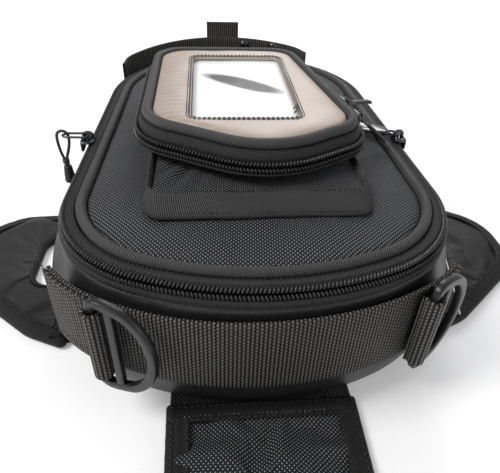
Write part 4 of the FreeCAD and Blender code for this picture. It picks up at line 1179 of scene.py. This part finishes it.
class BAG_OT_pocket_lid(Maker):
    """Upper half of the pocket's zip, piping, liner panel, card, clear film and stitching"""
    bl_idname = "bag.pocket_lid"
    bl_label = "Pocket lid"

    def build(self):
        """Bands follow the pocket's outline; the panel blends from the pocket's outline to the
        window's by share, and its height is a low crown."""
        edge = pocket_runs()
        outline = trace(edge, 420)
        teeth = Piece()
        tooth_row(teeth, edge, 1.9, 97.3, 0.5, slant=-0.45, lean=0.3)
        teeth.build("pocket_upper_teeth", coil(), "pocket_lid", "coil", ("pocket_upper_coil",))
        upper = soften([(5.0, 95.6), (4.0, 96.0), (3.3, 97.6), (3.3, 99.2), (3.8, 101.2), (4.8, 102.2),
                        (6.4, 102.6), (7.4, 101.5)], 2)
        Piece().grid(ring(outline, upper), close_along=True).build(
            "pocket_upper_tape_cloth", tape(), "pocket_lid", "tape", ("pocket_upper_tape",))
        seams = Piece()
        stitch_row(seams, edge, 3.4, 99.4, pitch=2.2, long=1.5, thick=0.3)
        stitch_row(seams, edge, 4.9, 102.3, pitch=2.2, long=1.5, thick=0.3)
        seams.build("pocket_upper_thread", thread(), "pocket_lid", "thread")
        tube = ring(outline, circle_profile(7.9, 104.6, 2.5, 2.5, 18))
        Piece().grid(tube, close_along=True, close_across=True).build(
            "pocket_piping_cord", piping_cloth(), "pocket_lid", "piping", ("pocket_piping",))
        ring_out, ring_in = trace(edge, 360), trace(window_runs(0.6), 360)
        start = at(ring_out, 10.2, 0)[:, :2]
        middle = np.array([-4.0, -11.0])
        angle = np.arctan2(start[:, 1] - middle[1], start[:, 0] - middle[0])
        turn, reach = polar(ring_in, middle, 720)
        far = np.interp(angle, turn, reach, period=2 * math.pi)
        end = middle + far[:, None] * np.stack([np.cos(angle), np.sin(angle)], 1)
        share = np.linspace(0, 1, 22)
        plan = start[:, None] + (end - start)[:, None] * share[None, :, None]
        tall = 104.9 + 1.9 * (1 - np.exp(-share * 6)) + 0.5 * np.sin(share * math.pi)
        grid = np.dstack([plan, np.broadcast_to(tall, plan.shape[:2])])
        grid[..., 2] += ripple(grid, 26, 0.35, 31) * np.sin(share * math.pi)
        lip = grid[:, -1:].copy()
        lip[..., 2] -= 1.4
        whole = np.concatenate([grid, lip], 1)
        whole[:, 0, 2] = 102.6
        Piece().grid(whole, close_along=True).build("liner_panel", liner(), "pocket_lid", "pocket_leather",
                                                    ("pocket_panel",))
        border = at(trace(edge, 200), 5.2, 0)[:, None, :2]
        back = middle + (border - middle) * np.linspace(1, 0.003, 20)[None, :, None]
        back = np.dstack([back, np.full(back.shape[:2], 101.6)])
        Piece().grid(back[:, ::-1], close_along=True).build("panel_backing", lining(), "pocket_lid", "lining")
        low, high = low_high("window_card")
        x = np.linspace(low[0], high[0], 60)
        y = np.linspace(low[1], high[1], 90)
        gx, gy = np.meshgrid(x, y, indexing="ij")
        flat = np.dstack([gx, gy, 104.5 + 0.25 * np.sin(gx * 0.11 + 1) * np.sin(gy * 0.07)])
        sheet = Piece().grid(flat).build("window_insert", card(), "pocket_lid", "card", ("window_card",))
        thick = sheet.modifiers.new("Card", "SOLIDIFY")
        thick.thickness, thick.offset = 0.0005, -1.0
        low, high = low_high("window_film")
        x = np.linspace(low[0], high[0], 70)
        y = np.linspace(low[1], high[1], 100)
        gx, gy = np.meshgrid(x, y, indexing="ij")
        u = (gx - low[0]) / (high[0] - low[0]) * 2 - 1
        v = (gy - low[1]) / (high[1] - low[1]) * 2 - 1
        wave = 0.35 * np.sin(u * 2.2 + v * 3.1)
        bow = 1.5 * (1 - u ** 2) * (1 - v ** 2) + wave * (1 - u ** 2) * (1 - v ** 2)
        Piece().grid(np.dstack([gx, gy, 106.3 + bow])).build(
            "window_sheet", film(), "pocket_lid", "clear_film", ("window_film",))
        seams = Piece()
        stitch_row(seams, window_runs(3.4), 0.0, 107.2, pitch=2.3, long=1.8, thick=0.28)
        stitch_row(seams, window_runs(1.0), 0.0, 107.1, pitch=2.3, long=1.8, thick=0.28)
        rim = trace(window_runs(2.2), 300)
        seams.grid(ring(rim, circle_profile(0.0, 106.9, 0.5, 0.3, 8)), close_along=True, close_across=True)
        for i in range(7):
            start_x = 19.5 + 0.5 * i
            stitch_line(seams, [(start_x, -53 + i, 107.7), (start_x + 0.8, -50 + i * 0.8, 108.0),
                                (start_x + 0.4, -47.5 + i * 0.9, 107.6)], pitch=2.4, long=3.0, thick=0.22)
        seams.build("window_thread", thread(), "pocket_lid", "thread", ("window_stitching",))


class BAG_OT_straps(Maker):
    """Webbing straps round both ends, the webbing loops and the upright rear tab"""
    bl_idname = "bag.straps"
    bl_label = "Straps"

    def build(self):
        """A stadium section with a rib per pitch, carried along part of an outline."""
        low, high = low_high("front_strap")
        runs = belly_runs()
        right_end = span_of(runs, lambda x, y: (y < STRAP_END["right"]) & (x > 0))[1]
        left_end = span_of(runs, lambda x, y: (y < STRAP_END["left"]) & (x < 0))[0] - 1
        total = trace(runs, 4).length
        outline = trace(runs, int((right_end - left_end) * total / 0.35), left_end, right_end)

        def sag(grid, outline):
            """The strap waves a little up and down along its length."""
            wave = 0.5 * np.sin(outline.along / 37.0) + 0.3 * np.sin(outline.along / 17.0 + 1)
            move = np.zeros_like(grid)
            move[..., 2] = wave[:, None]
            return move

        grid = strap(outline, 0.5, low[2], high[2], 1.7, sag=sag)
        Piece().grid(grid, close_across=True, along=outline.along + 1).build(
            "front_webbing", webbing(), "bag", "webbing", ("front_strap",))
        seams = Piece()
        for height in (low[2] + 3.0, high[2] - 3.0):
            stitch_row(seams, runs, -2.45, height, start=0.145 - 0.03, end=0.145, pitch=2.4, long=1.7)
            stitch_row(seams, runs, -2.45, height, start=1 - 0.145, end=1 - 0.115, pitch=2.4, long=1.7)
        seams.build("front_thread", thread(), "bag", "thread")
        low, high = low_high("rear_strap")
        runs = rim_runs()
        start, end = span_of(runs, lambda x, y: y > np.where(x > 0, FAR_STRAP_RIGHT_END, low[1]))
        outline = trace(runs, int((end - start) * total / 0.4), start, end)

        def arch(grid, outline):
            """The far strap arches: its middle stands higher and its ends come down to the wall."""
            share = (outline.along - outline.along[0]) / (outline.along[-1] - outline.along[0])
            move = np.zeros_like(grid)
            move[..., 2] = (4.5 * np.sin(share * math.pi) - 1.0)[:, None]
            pinch = (np.exp(-(share / 0.05) ** 2) + np.exp(-((1 - share) / 0.05) ** 2)) * 4.6
            move[..., :2] = -(outline.normals * pinch[:, None])[:, None, :]
            return move

        grid = strap(outline, 7.6, low[2], high[2], 1.7, sag=arch)
        Piece().grid(grid, close_across=True, along=outline.along).build(
            "rear_webbing", webbing(), "bag", "webbing", ("rear_strap",))
        for side in ("left", "right"):
            self.loop(side)
        low, high = low_high("rear_tab")
        x = np.linspace(low[0], high[0], 90)
        z = np.linspace(low[2], high[2], 60)
        gx, gz = np.meshgrid(x, z, indexing="ij")
        ribs = 0.12 * np.abs(np.sin(gz / 1.75 * math.pi))
        y = (low[1] + high[1]) / 2 - 0.9 + ribs + 0.4 * ((gz - low[2]) / 45) ** 2
        tab = Piece().grid(np.dstack([gx, y, gz])).build("tab_webbing", webbing(), "bag", "webbing",
                                                         ("rear_tab",))
        thick = tab.modifiers.new("Webbing", "SOLIDIFY")
        thick.thickness, thick.offset = 0.0018, 0.0
        edge = tab.modifiers.new("Edge", "BEVEL")
        edge.width, edge.segments, edge.limit_method = 0.0005, 2, "ANGLE"
        seams = Piece()
        for z in (high[2] - 3, high[2] - 12):
            stitch_line(seams, [(low[0] + 2.5, low[1] - 0.25, z), (high[0] - 2.5, low[1] - 0.25, z)],
                        normal=(0, -1, 0))
        seams.build("tab_thread", thread(), "bag", "thread")

    def loop(self, side):
        """Flat webbing from the wall round the D-ring's bar and back: a path in plan with height."""
        sign = -1 if side == "left" else 1
        low, high = low_high("ring_loop_" + side)
        bar = pivot(f"ring_{side}_swing")[0][:2] * (sign, 1)
        outline = trace(belly_runs(), 3000)
        x, y = outline.points.T
        here = (y < STRAP_END[side]) & (x > bar[0] + 1) & (x > 0)
        wall = outline.points[here] + outline.normals[here] * 3.3
        wall = wall[::-1][:: max(len(wall) // 16, 1)]
        toward = math.radians(LOOP_FOLD_TURN)
        around = np.linspace(toward + 2.2, toward - 2.0, 18)
        fold = bar + 3.5 * np.stack([np.cos(around), np.sin(around)], 1)
        back = np.array([bar - 6.2 * np.array([0.90, 0.43]) + (0.4, 3.5)])
        path = curve(np.vstack([wall, fold, back]), 150)
        spine = np.column_stack([path * (sign, 1), np.full(len(path), (low[2] + high[2]) / 2)])
        half = (high[2] - low[2]) / 2
        heights = np.linspace(-half, half, 30)
        grid = spine[:, None, :] + np.array([0, 0, 1.0]) * heights[None, :, None]
        ribs = np.abs(np.sin(np.arange(150) * 0.5 / 1.75 * math.pi))
        grid = grid + 0.10 * grid_normals(grid, False) * ribs[:, None, None]
        strip = Piece().grid(grid).build("loop_webbing_" + side, webbing(), "bag", "webbing",
                                         ("ring_loop_" + side,))
        thick = strip.modifiers.new("Webbing", "SOLIDIFY")
        thick.thickness, thick.offset = 0.0014, 0.0
        seams = Piece()
        for height in (low[2] + 4, high[2] - 4):
            run = np.column_stack([wall[2:-2] * (sign, 1), np.full(len(wall) - 4, height)])
            away = run[:, :2] - (0, -60)
            run[:, :2] += away / np.linalg.norm(away, axis=1)[:, None] * 0.8
            stitch_line(seams, run, normal=(0, 0, 1))
        seams.build("loop_thread_" + side, thread(), "bag", "thread")


class BAG_OT_rings(Maker):
    """Moulded D-rings"""
    bl_idname = "bag.rings"
    bl_label = "D-rings"

    def build(self):
        """A superellipse carried round a D: a straight bar, two small bends and a half oval, with a
        second bar across it."""
        for side, degrees in RING_TURN.items():
            turn = math.radians(degrees)
            bar = pivot(f"ring_{side}_swing")[0]
            way = np.array([math.cos(turn), math.sin(turn), 0])
            up = np.array([0, 0, 1.0])
            out = np.cross(way, up)
            bend = [(0, -21), (0, -10), (0, 0), (0, 10), (0, 21), (1.4, 23.2), (5.0, 23.8)]
            arc = [(7.5 + 18.0 * math.cos(a), 23.2 * math.sin(a)) for a in np.linspace(1.25, -1.25, 13)]
            d = np.array(bend + arc + [(5.0, -23.8), (1.4, -23.2)])
            path = curve(d, 150, closed=True)
            path = bar + path[:, :1] * way + path[:, 1:] * up
            ring_piece = Piece().grid(sweep(path, 2.1, 1.85, out, 20, closed=True, power=5.0),
                                      close_along=True, close_across=True)
            z = np.linspace(-21.6, 21.6, 24)
            cross = bar + 8.3 * way + z[:, None] * up
            ring_piece.grid(sweep(cross, 2.0, 1.6, out, 16, power=4.5), close_across=True)
            ring_piece.build("ring_" + side, plastic(), "ring_" + side, "ring_plastic",
                             ("d_ring_" + side,), mend=True)


class BAG_OT_wings(Maker):
    """Stuffed magnetic wings with their edge binding and sewn roots"""
    bl_idname = "bag.wings"
    bl_label = "Side wings"

    def build(self):
        """The plan is the tongue's rounded outline; cushion() stuffs it and the binding is a U-shaped
        profile of (inset, height) carried round it."""
        low, high = low_high("wing_right_binding")
        root, reach = low[0], high[0] - low[0]
        corners = [(0, -104), (22, -94), (74.4, -50), (74.4, -4), (50, 12), (0, 15)]
        corners = [(root + x * reach / 74.4, y) for x, y in corners]
        runs = rounded_runs(corners, [3, 30, 36, 34, 24, 3])
        hole_runs = rounded_runs([(root + 3, -60), (root + 29, -56), (root + 29, -14), (root + 3, -10)],
                                 [3, 11, 11, 3])
        outer, hole = trace(runs, 900), trace(hole_runs, 600)
        centre = np.array([root + 15.0, -35.0])
        inner = Outline(outer.points - outer.normals * 1.6, outer.normals, outer.along, outer.length)
        for side, mirror in (("left", True), ("right", False)):
            body = "wing_" + side
            nodes = tuple(f"wing_{side}_{part}" for part in ("top", "base", "foam", "magnets"))
            crown_height = 2.2 if side == "left" else 0.9
            cushion("wing_pad_" + side, body, inner, hole, centre, 0.3, 5.2, crown_height, 40 + mirror,
                    smooth_leather(), mirror, nodes, slot="leather")
            edge = trace(runs, 420)
            profile = soften([(8.4, 6.3), (6.6, 6.5), (2.4, 5.9), (0.2, 5.0), (-0.5, 3.2), (0.0, 1.2),
                              (1.4, 0.15), (7.6, 0.1)], 2)
            grid = sheet_normal(ring(edge, profile), 0.25 * np.abs(np.sin(edge.along / 2.2))[:, None]
                                * np.ones(len(profile))[None] * 0.3)
            Piece().grid(grid[:, ::-1], close_along=True).build(
                "wing_edge_" + side, binding_tape(), body, "binding", (f"wing_{side}_binding",),
                mirror=mirror)
            rim = trace(hole_runs, 200)
            lip = ring(rim, soften([(-2.6, 5.6), (-1.2, 5.6), (0.3, 4.4), (0.4, 2.4), (-0.4, 0.5),
                                    (-2.4, 0.25)], 2))
            Piece().grid(lip, close_along=True).build("gap_edge_" + side, binding_tape(), body, "binding",
                                                      mirror=mirror)
            seams = Piece()
            stitch_row(seams, runs, 7.6, 6.75, pitch=2.8, long=2.0)
            seams.build("wing_thread_" + side, thread(), body, "thread", mirror=mirror)
            y = np.linspace(-99, 12, 60)
            x = np.linspace(root - 12, root + 3.4, 10)
            gx, gy = np.meshgrid(x, y, indexing="ij")
            z = 2.6 + 0.4 * np.sin(gy / 7.0) * (gx > root - 3)
            strip = Piece().grid(np.dstack([gx, gy, z])).build("wing_root_" + side, binding_tape(), None,
                                                               "binding", mirror=mirror)
            thick = strip.modifiers.new("Cloth", "SOLIDIFY")
            thick.thickness = 0.0009
            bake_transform(strip)


class BAG_OT_flap(Maker):
    """Near flap: ballistic field, wide bound edges and folds at its root"""
    bl_idname = "bag.flap"
    bl_label = "Near flap"

    def build(self):
        """cushion() stuffs the field, the binding is a U-shaped profile carried round the outline, and a
        strip with folds joins the root to the bag."""
        low, high = low_high("flap_binding")
        half, root, tip = high[0], high[1], low[1]
        corners = [(-half + 2, tip), (half - 2, tip), (half, root), (-half, root)]
        runs = rounded_runs(corners, [22, 22, 1.5, 1.5])
        outer = trace(runs, 900)
        inner = Outline(outer.points - outer.normals * 1.6, outer.normals, outer.along, outer.length)
        centre = np.array([0.0, (root + tip) / 2])
        cushion("flap_pad", "flap", inner, None, centre, 0.3, 4.6, 0.9, 55, ballistic(), False,
                ("flap_top", "flap_base", "flap_foam", "flap_magnets"), pressure=1.2,
                slot="ballistic_fabric")
        edge = trace(runs, 420)
        profile = soften([(10.2, 5.5), (8.4, 5.7), (2.6, 5.3), (0.2, 4.4), (-0.4, 2.8), (0.0, 1.0),
                          (1.4, 0.1), (9.0, 0.1)], 2)
        grid = sheet_normal(ring(edge, profile), 0.08 * np.abs(np.sin(edge.along / 2.4))[:, None]
                            * np.ones(len(profile))[None])
        Piece().grid(grid[:, ::-1], close_along=True).build("flap_edge", binding_tape(), "flap", "binding",
                                                            ("flap_binding",))
        seams = Piece()
        stitch_row(seams, runs, 9.4, 5.95, pitch=2.8, long=2.0)
        stitch_row(seams, runs, 2.6, 5.75, pitch=2.8, long=2.0)
        seams.build("flap_thread", thread(), "flap", "thread")
        x = np.linspace(-half + 1.5, half - 1.5, 90)
        y = np.linspace(root - 9, root + 13, 26)
        gx, gy = np.meshgrid(x, y, indexing="ij")
        near = np.clip((root + 3 - gy) / 12, 0, 1)
        z = 2.4 + near * (3.3 + 0.5 * np.sin(gy * 1.9 + 0.2 * np.sin(gx / 9)))
        strip = Piece().grid(np.dstack([gx, gy, z])).build("flap_root", ballistic(), None, "ballistic_fabric")
        thick = strip.modifiers.new("Cloth", "SOLIDIFY")
        thick.thickness = 0.0009
        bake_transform(strip)


class BAG_OT_sliders(Maker):
    """Zip sliders with their bails"""
    bl_idname = "bag.sliders"
    bl_label = "Sliders"

    def build(self):
        """Rounded blocks for the two plates, a skirt and shoulders, and a bent tube for the bail."""
        for zip_name, end in (("main", "left"), ("main", "right"), ("pocket", "front"), ("pocket", "rear")):
            node = f"{zip_name}_slider_{end}"
            low, high = low_high(node)
            centre = (low + high) / 2
            pin = pivot(f"{zip_name}_pull_{end}_flip")[0]
            sign = 1 if centre[0] > 0 else -1
            body = Piece()
            if zip_name == "main":
                x = sign * 88.6
                block(body, (x, centre[1], 78.2), (7.4, 10.6, 2.0), power=4.0)
                block(body, (x + sign * 0.4, centre[1] + 2.6, 78.7), (6.0, 4.2, 1.6), power=3.0)
                block(body, (sign * 91.5, centre[1], 75.6), (1.6, 9.6, 6.6), power=4.0)
                arch = curve([(pin[0] - 2.2, pin[1], 78.9), (pin[0] - 2.3, pin[1], 81.0),
                              (pin[0] - 1.1, pin[1], 82.3), (pin[0] + 1.1, pin[1], 82.3),
                              (pin[0] + 2.3, pin[1], 81.0), (pin[0] + 2.2, pin[1], 78.9)], 30)
                body.grid(sweep(arch, 1.0, 0.55, (0, 1, 0), 10, power=3.0), close_across=True)
            else:
                slant = math.radians(POCKET_SLANT)
                axes = np.array([(math.cos(slant), math.sin(slant), 0),
                                 (-math.sin(slant), math.cos(slant), 0), (0, 0, 1.0)])
                base = pin - np.array([4.2, 0, -1.9]) @ axes
                for place, size, power in (((-1.3, 0, 0.5), (5.6, 10.6, 1.4), 4.0),
                                           ((1.8, 0, -2.0), (1.7, 10.6, 6.8), 4.0),
                                           ((2.5, 2.4, -1.8), (1.4, 4.0, 5.4), 3.0)):
                    block(body, base + np.array(place) @ axes, size, axes, power=power)
                bail = np.array([(-1.8, 0, 2.2), (0, 0, 2.3), (1.5, 0, 1.1), (1.5, 0, -1.1), (0, 0, -2.2),
                                 (-1.8, 0, -2.1)])
                body.grid(sweep(curve(pin + bail @ axes, 30), 1.0, 0.55, axes[1], 10, power=3.0),
                          close_across=True)
            body.build(node + "_shell", metal(), node, "slider_metal", (node,), mend=True)


class BAG_OT_pulls(Maker):
    """Pulls: bent wire with cord and grip, a broad glossy tongue and two narrow ones"""
    bl_idname = "bag.pulls"
    bl_label = "Pulls"

    def build(self):
        """Bent wires are tubes along smooth paths and tongues are blocks that widen and hollow."""
        pin, axis = pivot("main_pull_left_flip")
        way = np.cross(axis, (0, 0, 1.0)) * -1
        way = way / np.linalg.norm(way)
        if way[0] > 0:
            way = -way
        up = np.array([0, 0, 1.0])
        loop = [(0, 0), (0, 1.9), (1.6, 2.6), (7, 2.5), (11.8, 2.3), (13.8, 0), (11.8, -2.3), (7, -2.5),
                (1.6, -2.6), (0, -1.9)]
        path = curve(loop, 90, closed=True)
        path = pin + path[:, :1] * way + path[:, 1:] * axis
        Piece().grid(sweep(path, 0.68, 0.68, up, 10, closed=True), close_along=True, close_across=True).build(
            "left_wire", metal(), "main_pull_left", "slider_metal", ("main_pull_left_wire",), mend=True)
        ring_points = [(14.9, 2.4), (16.9, 0.4), (17.2, -5), (16.4, -11.4), (14.9, -15.2), (13.2, -11.4),
                       (11.3, -5.4), (10.9, -0.4), (12.4, 2.2)]
        path = curve(ring_points, 110, closed=True)
        path = pin + path[:, :1] * way + path[:, 1:] * up
        cord_piece = Piece().grid(sweep(path, 0.85, 0.85, axis, 10, closed=True), close_along=True,
                                  close_across=True)
        knot = pin + 14.9 * way - 15.6 * up
        turns = np.linspace(0, 3 * 2 * math.pi, 100)
        coil_path = knot + np.stack([1.15 * np.cos(turns), 1.15 * np.sin(turns), 0.9 - turns * 0.12], 1)
        cord_piece.grid(sweep(coil_path, 0.8, 0.8, up, 8), close_across=True)
        cord_piece.build("left_cord", thread(), "main_pull_left_end", "cord", ("main_pull_left_cord",),
                         mend=True)
        low, high = low_high("main_pull_left_grip")
        middle = (low + high) / 2
        t = np.linspace(0, 1, 40)
        radius = (2.0 + 1.0 * np.sin(t * math.pi * 0.62) - 0.22 * (np.sin(t * 42) > 0.2)) * \
            np.clip(np.sin(np.clip(t, 0.004, 0.996) * math.pi) * 4, 0, 1) ** 0.5
        angle = np.linspace(0, 2 * math.pi, 28, endpoint=False)
        z = high[2] - t * (high[2] - low[2])
        grip = np.stack([middle[0] + radius[None] * np.cos(angle)[:, None],
                         middle[1] + radius[None] * np.sin(angle)[:, None], np.broadcast_to(z, (28, 40))], 2)
        Piece().grid(grip, close_along=True).build("left_grip", rubber(), "main_pull_left_end", "grip_rubber",
                                                   ("main_pull_left_grip",), mend=True)
        for node, length, wide, thick, degrees in (("main_pull_right", 27.0, 11.0, 2.6, 4.0),
                                                   ("pocket_pull_front", 16.0, 3.8, 1.9, -40.0),
                                                   ("pocket_pull_rear", 16.0, 3.8, 1.9, -10.0)):
            broad = node == "main_pull_right"
            pin, axis = pivot(node + "_flip")
            flat = np.cross(axis, (0, 0, 1.0))
            flat = -flat / np.linalg.norm(flat)
            flat = flat if np.dot(np.cross(axis, flat), (0, 0, 1)) > 0 else -flat
            rise = np.array([0, 0, 1.0])
            lean = math.radians(degrees)
            way = flat * math.cos(lean) + rise * math.sin(lean)
            over = np.cross(way, axis)
            over = over if over[2] > 0 else -over
            hook = curve([(0, 0), (0, 1.6), (1.2, 2.2), (4.4, 2.1), (6.6, 1.2), (6.9, 0), (6.6, -1.2),
                          (4.4, -2.1), (1.2, -2.2), (0, -1.6)], 70, closed=True)
            path = pin + hook[:, :1] * way + hook[:, 1:] * axis
            Piece().grid(sweep(path, 0.65, 0.65, over, 10, closed=True), close_along=True,
                         close_across=True).build(node + "_hook", metal(), node, "slider_metal", mend=True)
            t = np.linspace(0, 1, 44)
            spine = pin + (5.4 + t * (length + 0.2))[:, None] * way
            swell = np.clip(np.sin(np.clip(t, 0.002, 0.998) * math.pi) * 5, 0, 1) ** 0.5
            if broad:
                half = wide / 2 * swell * (0.62 + 0.38 * np.clip(t * 2.2, 0, 1))
                half = half * (1 - 0.12 * np.clip(t * 3 - 2, 0, 1))
            else:
                half = wide / 2 * swell * (1 + 0.35 * np.exp(-((t - 0.93) / 0.06) ** 2))
            angle = np.linspace(0, 2 * math.pi, 26, endpoint=False)
            a = np.sign(np.cos(angle)) * np.abs(np.cos(angle)) ** 0.6
            b = np.sign(np.sin(angle)) * np.abs(np.sin(angle)) ** 0.6
            dip = 0.35 * np.exp(-((t - 0.55) / 0.25) ** 2)[:, None]
            hollow = 1 - dip * (1 - np.abs(a)[None] ** 2) * broad
            ridge = 1 + 0.12 * np.sin(t * 60)[:, None] * (not broad)
            tongue = spine[:, None] + axis * (half[:, None] * a[None])[..., None] \
                + over * (thick / 2 * swell[:, None] * b[None] * hollow * ridge)[..., None]
            look, slot = (gloss(), "gloss_puller") if broad else (rubber(), "strap_puller")
            Piece().grid(tongue, close_across=True).build(node + "_tongue", look, node, slot, (node,),
                                                          mend=True)


class BAG_OT_fittings(Maker):
    """Domed studs on the far strap and the card tag"""
    bl_idname = "bag.fittings"
    bl_label = "Studs and tag"

    def build(self):
        """A stud is a dome on a flange, turned about its axis; the tag is a card with a pale core."""
        low, high = low_high("rear_studs")
        studs = Piece()
        band = trace(rim_runs(), 4000)
        for x in (low[0] + 3.8, high[0] - 3.4):
            place = np.argmin(np.abs(band.points[:, 0] - x) + (band.points[:, 1] < 0) * 1000)
            out = np.append(-band.normals[place], 0.0)
            side = np.cross(out, (0, 0, 1.0))
            centre = np.append(band.points[place] + 7.4 * band.normals[place],
                               (low[2] + high[2]) / 2 + 3.0)
            t = np.linspace(0, 1, 22)
            radius = np.where(t < 0.35, 3.7, 3.1 * np.cos((t - 0.35) / 0.65 * math.pi / 2) ** 0.7 + 0.001)
            rise = np.where(t < 0.35, t / 0.35 * 0.9, 0.9 + 1.5 * np.sin((t - 0.35) / 0.65 * math.pi / 2))
            radius[0] = 0.001
            rise[0] = 0.0
            angle = np.linspace(0, 2 * math.pi, 28, endpoint=False)
            grid = centre + out * rise[None, :, None] + radius[None, :, None] * (
                side * np.cos(angle)[:, None, None] + np.array([0, 0, 1.0]) * np.sin(angle)[:, None, None])
            studs.grid(grid, close_along=True)
        studs.build("strap_studs", metal(), "bag", "stud_metal", ("rear_studs",), mend=True)
        low, high = low_high("swing_tag")
        middle = (low + high) / 2
        turn = math.radians(TAG_TURN)
        long_way = np.array([-math.sin(turn), math.cos(turn), 0])
        across = np.array([math.cos(turn), math.sin(turn), 0])
        tag = Piece()
        s = np.linspace(-33, 33, 50)
        for slot, height, wide in ((0, 0.34, 8.2), (1, 0.0, 9.2), (0, -0.34, 8.4)):
            t = np.linspace(-8.4, wide, 14)
            gs, gt = np.meshgrid(s, t, indexing="ij")
            bow = 0.9 * (1 - (gs / 33) ** 2)
            face = middle + gs[..., None] * long_way + gt[..., None] * across
            top, bottom = face.copy(), face.copy()
            top[..., 2] += height + 0.2 + bow
            bottom[..., 2] += height - 0.15 + bow
            loop = np.concatenate([top, bottom[:, ::-1]], 1)
            tag.grid(loop, close_across=True, slot=slot)
        tag.build("card_tag", [tag_board(), tag_core()], "wing_right", "tag_card", ("swing_tag",))


class BAG_OT_stage(Maker):
    """Pale floor, soft studio light and the camera"""
    bl_idname = "bag.stage"
    bl_label = "Stage"

    def build(self):
        scene = bpy.context.scene
        x = np.linspace(-2600, 2600, 20)
        gx, gy = np.meshgrid(x, x, indexing="ij")
        paper = bpy.data.materials.new("stage_paper")
        paper.use_nodes = True
        shader = paper.node_tree.nodes["Principled BSDF"]
        shader.inputs["Base Color"].default_value = (0.88, 0.88, 0.89, 1)
        shader.inputs["Roughness"].default_value = 0.9
        shader.inputs["Emission Color"].default_value = (1, 1, 1, 1)
        shader.inputs["Emission Strength"].default_value = 0.22
        floor = Piece().grid(np.dstack([gx, gy, np.zeros_like(gx) - 0.05])).build("studio_floor", paper)
        world = bpy.data.worlds.new("studio")
        scene.world = world
        world.use_nodes = True
        world.node_tree.nodes["Background"].inputs[0].default_value = (0.97, 0.98, 1.0, 1)
        path = world.node_tree.nodes.new("ShaderNodeLightPath")
        strength = blend_value(world.node_tree, path.outputs["Is Camera Ray"], 0.42, 1.0)
        world.node_tree.links.new(strength, world.node_tree.nodes["Background"].inputs[1])
        scene.view_settings.view_transform = "Standard"
        for name, place, aim, size, power, tint in (
                ("key", (-0.75, -0.25, 0.95), (0, -0.05, 0.05), 0.55, 9.5, (1, 0.985, 0.96)),
                ("back", (0.25, 1.05, 0.85), (0, 0, 0.05), 0.8, 8.0, (1, 1, 1)),
                ("side", (0.95, -0.35, 0.45), (0, -0.05, 0.05), 0.4, 1.2, (1, 0.99, 0.98))):
            lamp = bpy.data.lights.new(name, "AREA")
            lamp.shape, lamp.size, lamp.energy, lamp.color = "DISK", size, power, tint
            thing = bpy.data.objects.new(name, lamp)
            thing.location = place
            thing.rotation_euler = (Vector(aim) - Vector(place)).to_track_quat("-Z", "Y").to_euler()
            scene.collection.objects.link(thing)
        lens = bpy.data.cameras.new("camera")
        lens.lens, lens.sensor_width = 35.16, 36.0
        lens.clip_start = 0.01
        camera = bpy.data.objects.new("camera", lens)
        yaw, pitch, roll = math.radians(6.009), math.radians(37.194), math.radians(2.355)
        ahead = Vector((math.sin(yaw) * math.cos(pitch), math.cos(yaw) * math.cos(pitch), -math.sin(pitch)))
        right = Vector((math.cos(yaw), -math.sin(yaw), 0))
        over = right.cross(ahead)
        side = right * math.cos(roll) + over * math.sin(roll)
        top = over * math.cos(roll) - right * math.sin(roll)
        turn = Matrix((side, top, -ahead)).transposed()
        camera.matrix_world = Matrix.Translation((-0.02285, -0.27427, 0.20199)) @ turn.to_4x4()
        scene.collection.objects.link(camera)
        scene.camera = camera


class BAG_PT_panel(bpy.types.Panel):
    """Lists the sizes, colours and makers of the bag"""
    bl_label = "Tank Bag"
    bl_idname = "BAG_PT_panel"
    bl_space_type = "VIEW_3D"
    bl_region_type = "UI"
    bl_category = "Tank Bag"

    def draw(self, context):
        for group_name in ("bag_shape", "bag_colours"):
            values = getattr(context.scene, group_name)
            for key in values.__annotations__:
                self.layout.prop(values, key)
        for maker in MAKERS:
            self.layout.operator(maker.bl_idname)


MAKERS = (BAG_OT_wall, BAG_OT_inside, BAG_OT_zip, BAG_OT_lid, BAG_OT_pocket_tray, BAG_OT_pocket_lid,
          BAG_OT_straps, BAG_OT_rings, BAG_OT_wings, BAG_OT_flap, BAG_OT_sliders, BAG_OT_pulls,
          BAG_OT_fittings, BAG_OT_stage)
CLASSES = (BagShape, BagColours) + MAKERS + (BAG_PT_panel,)


def register():
    for item in CLASSES:
        bpy.utils.register_class(item)
    bpy.types.Scene.bag_shape = PointerProperty(type=BagShape)
    bpy.types.Scene.bag_colours = PointerProperty(type=BagColours)


def unregister():
    del bpy.types.Scene.bag_colours
    del bpy.types.Scene.bag_shape
    for item in reversed(CLASSES):
        bpy.utils.unregister_class(item)


def main():
    """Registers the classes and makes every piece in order."""
    register()
    for maker in MAKERS:
        group_name, operator = maker.bl_idname.split(".")
        getattr(getattr(bpy.ops, group_name), operator)()


if __name__ == "__main__":
    main()
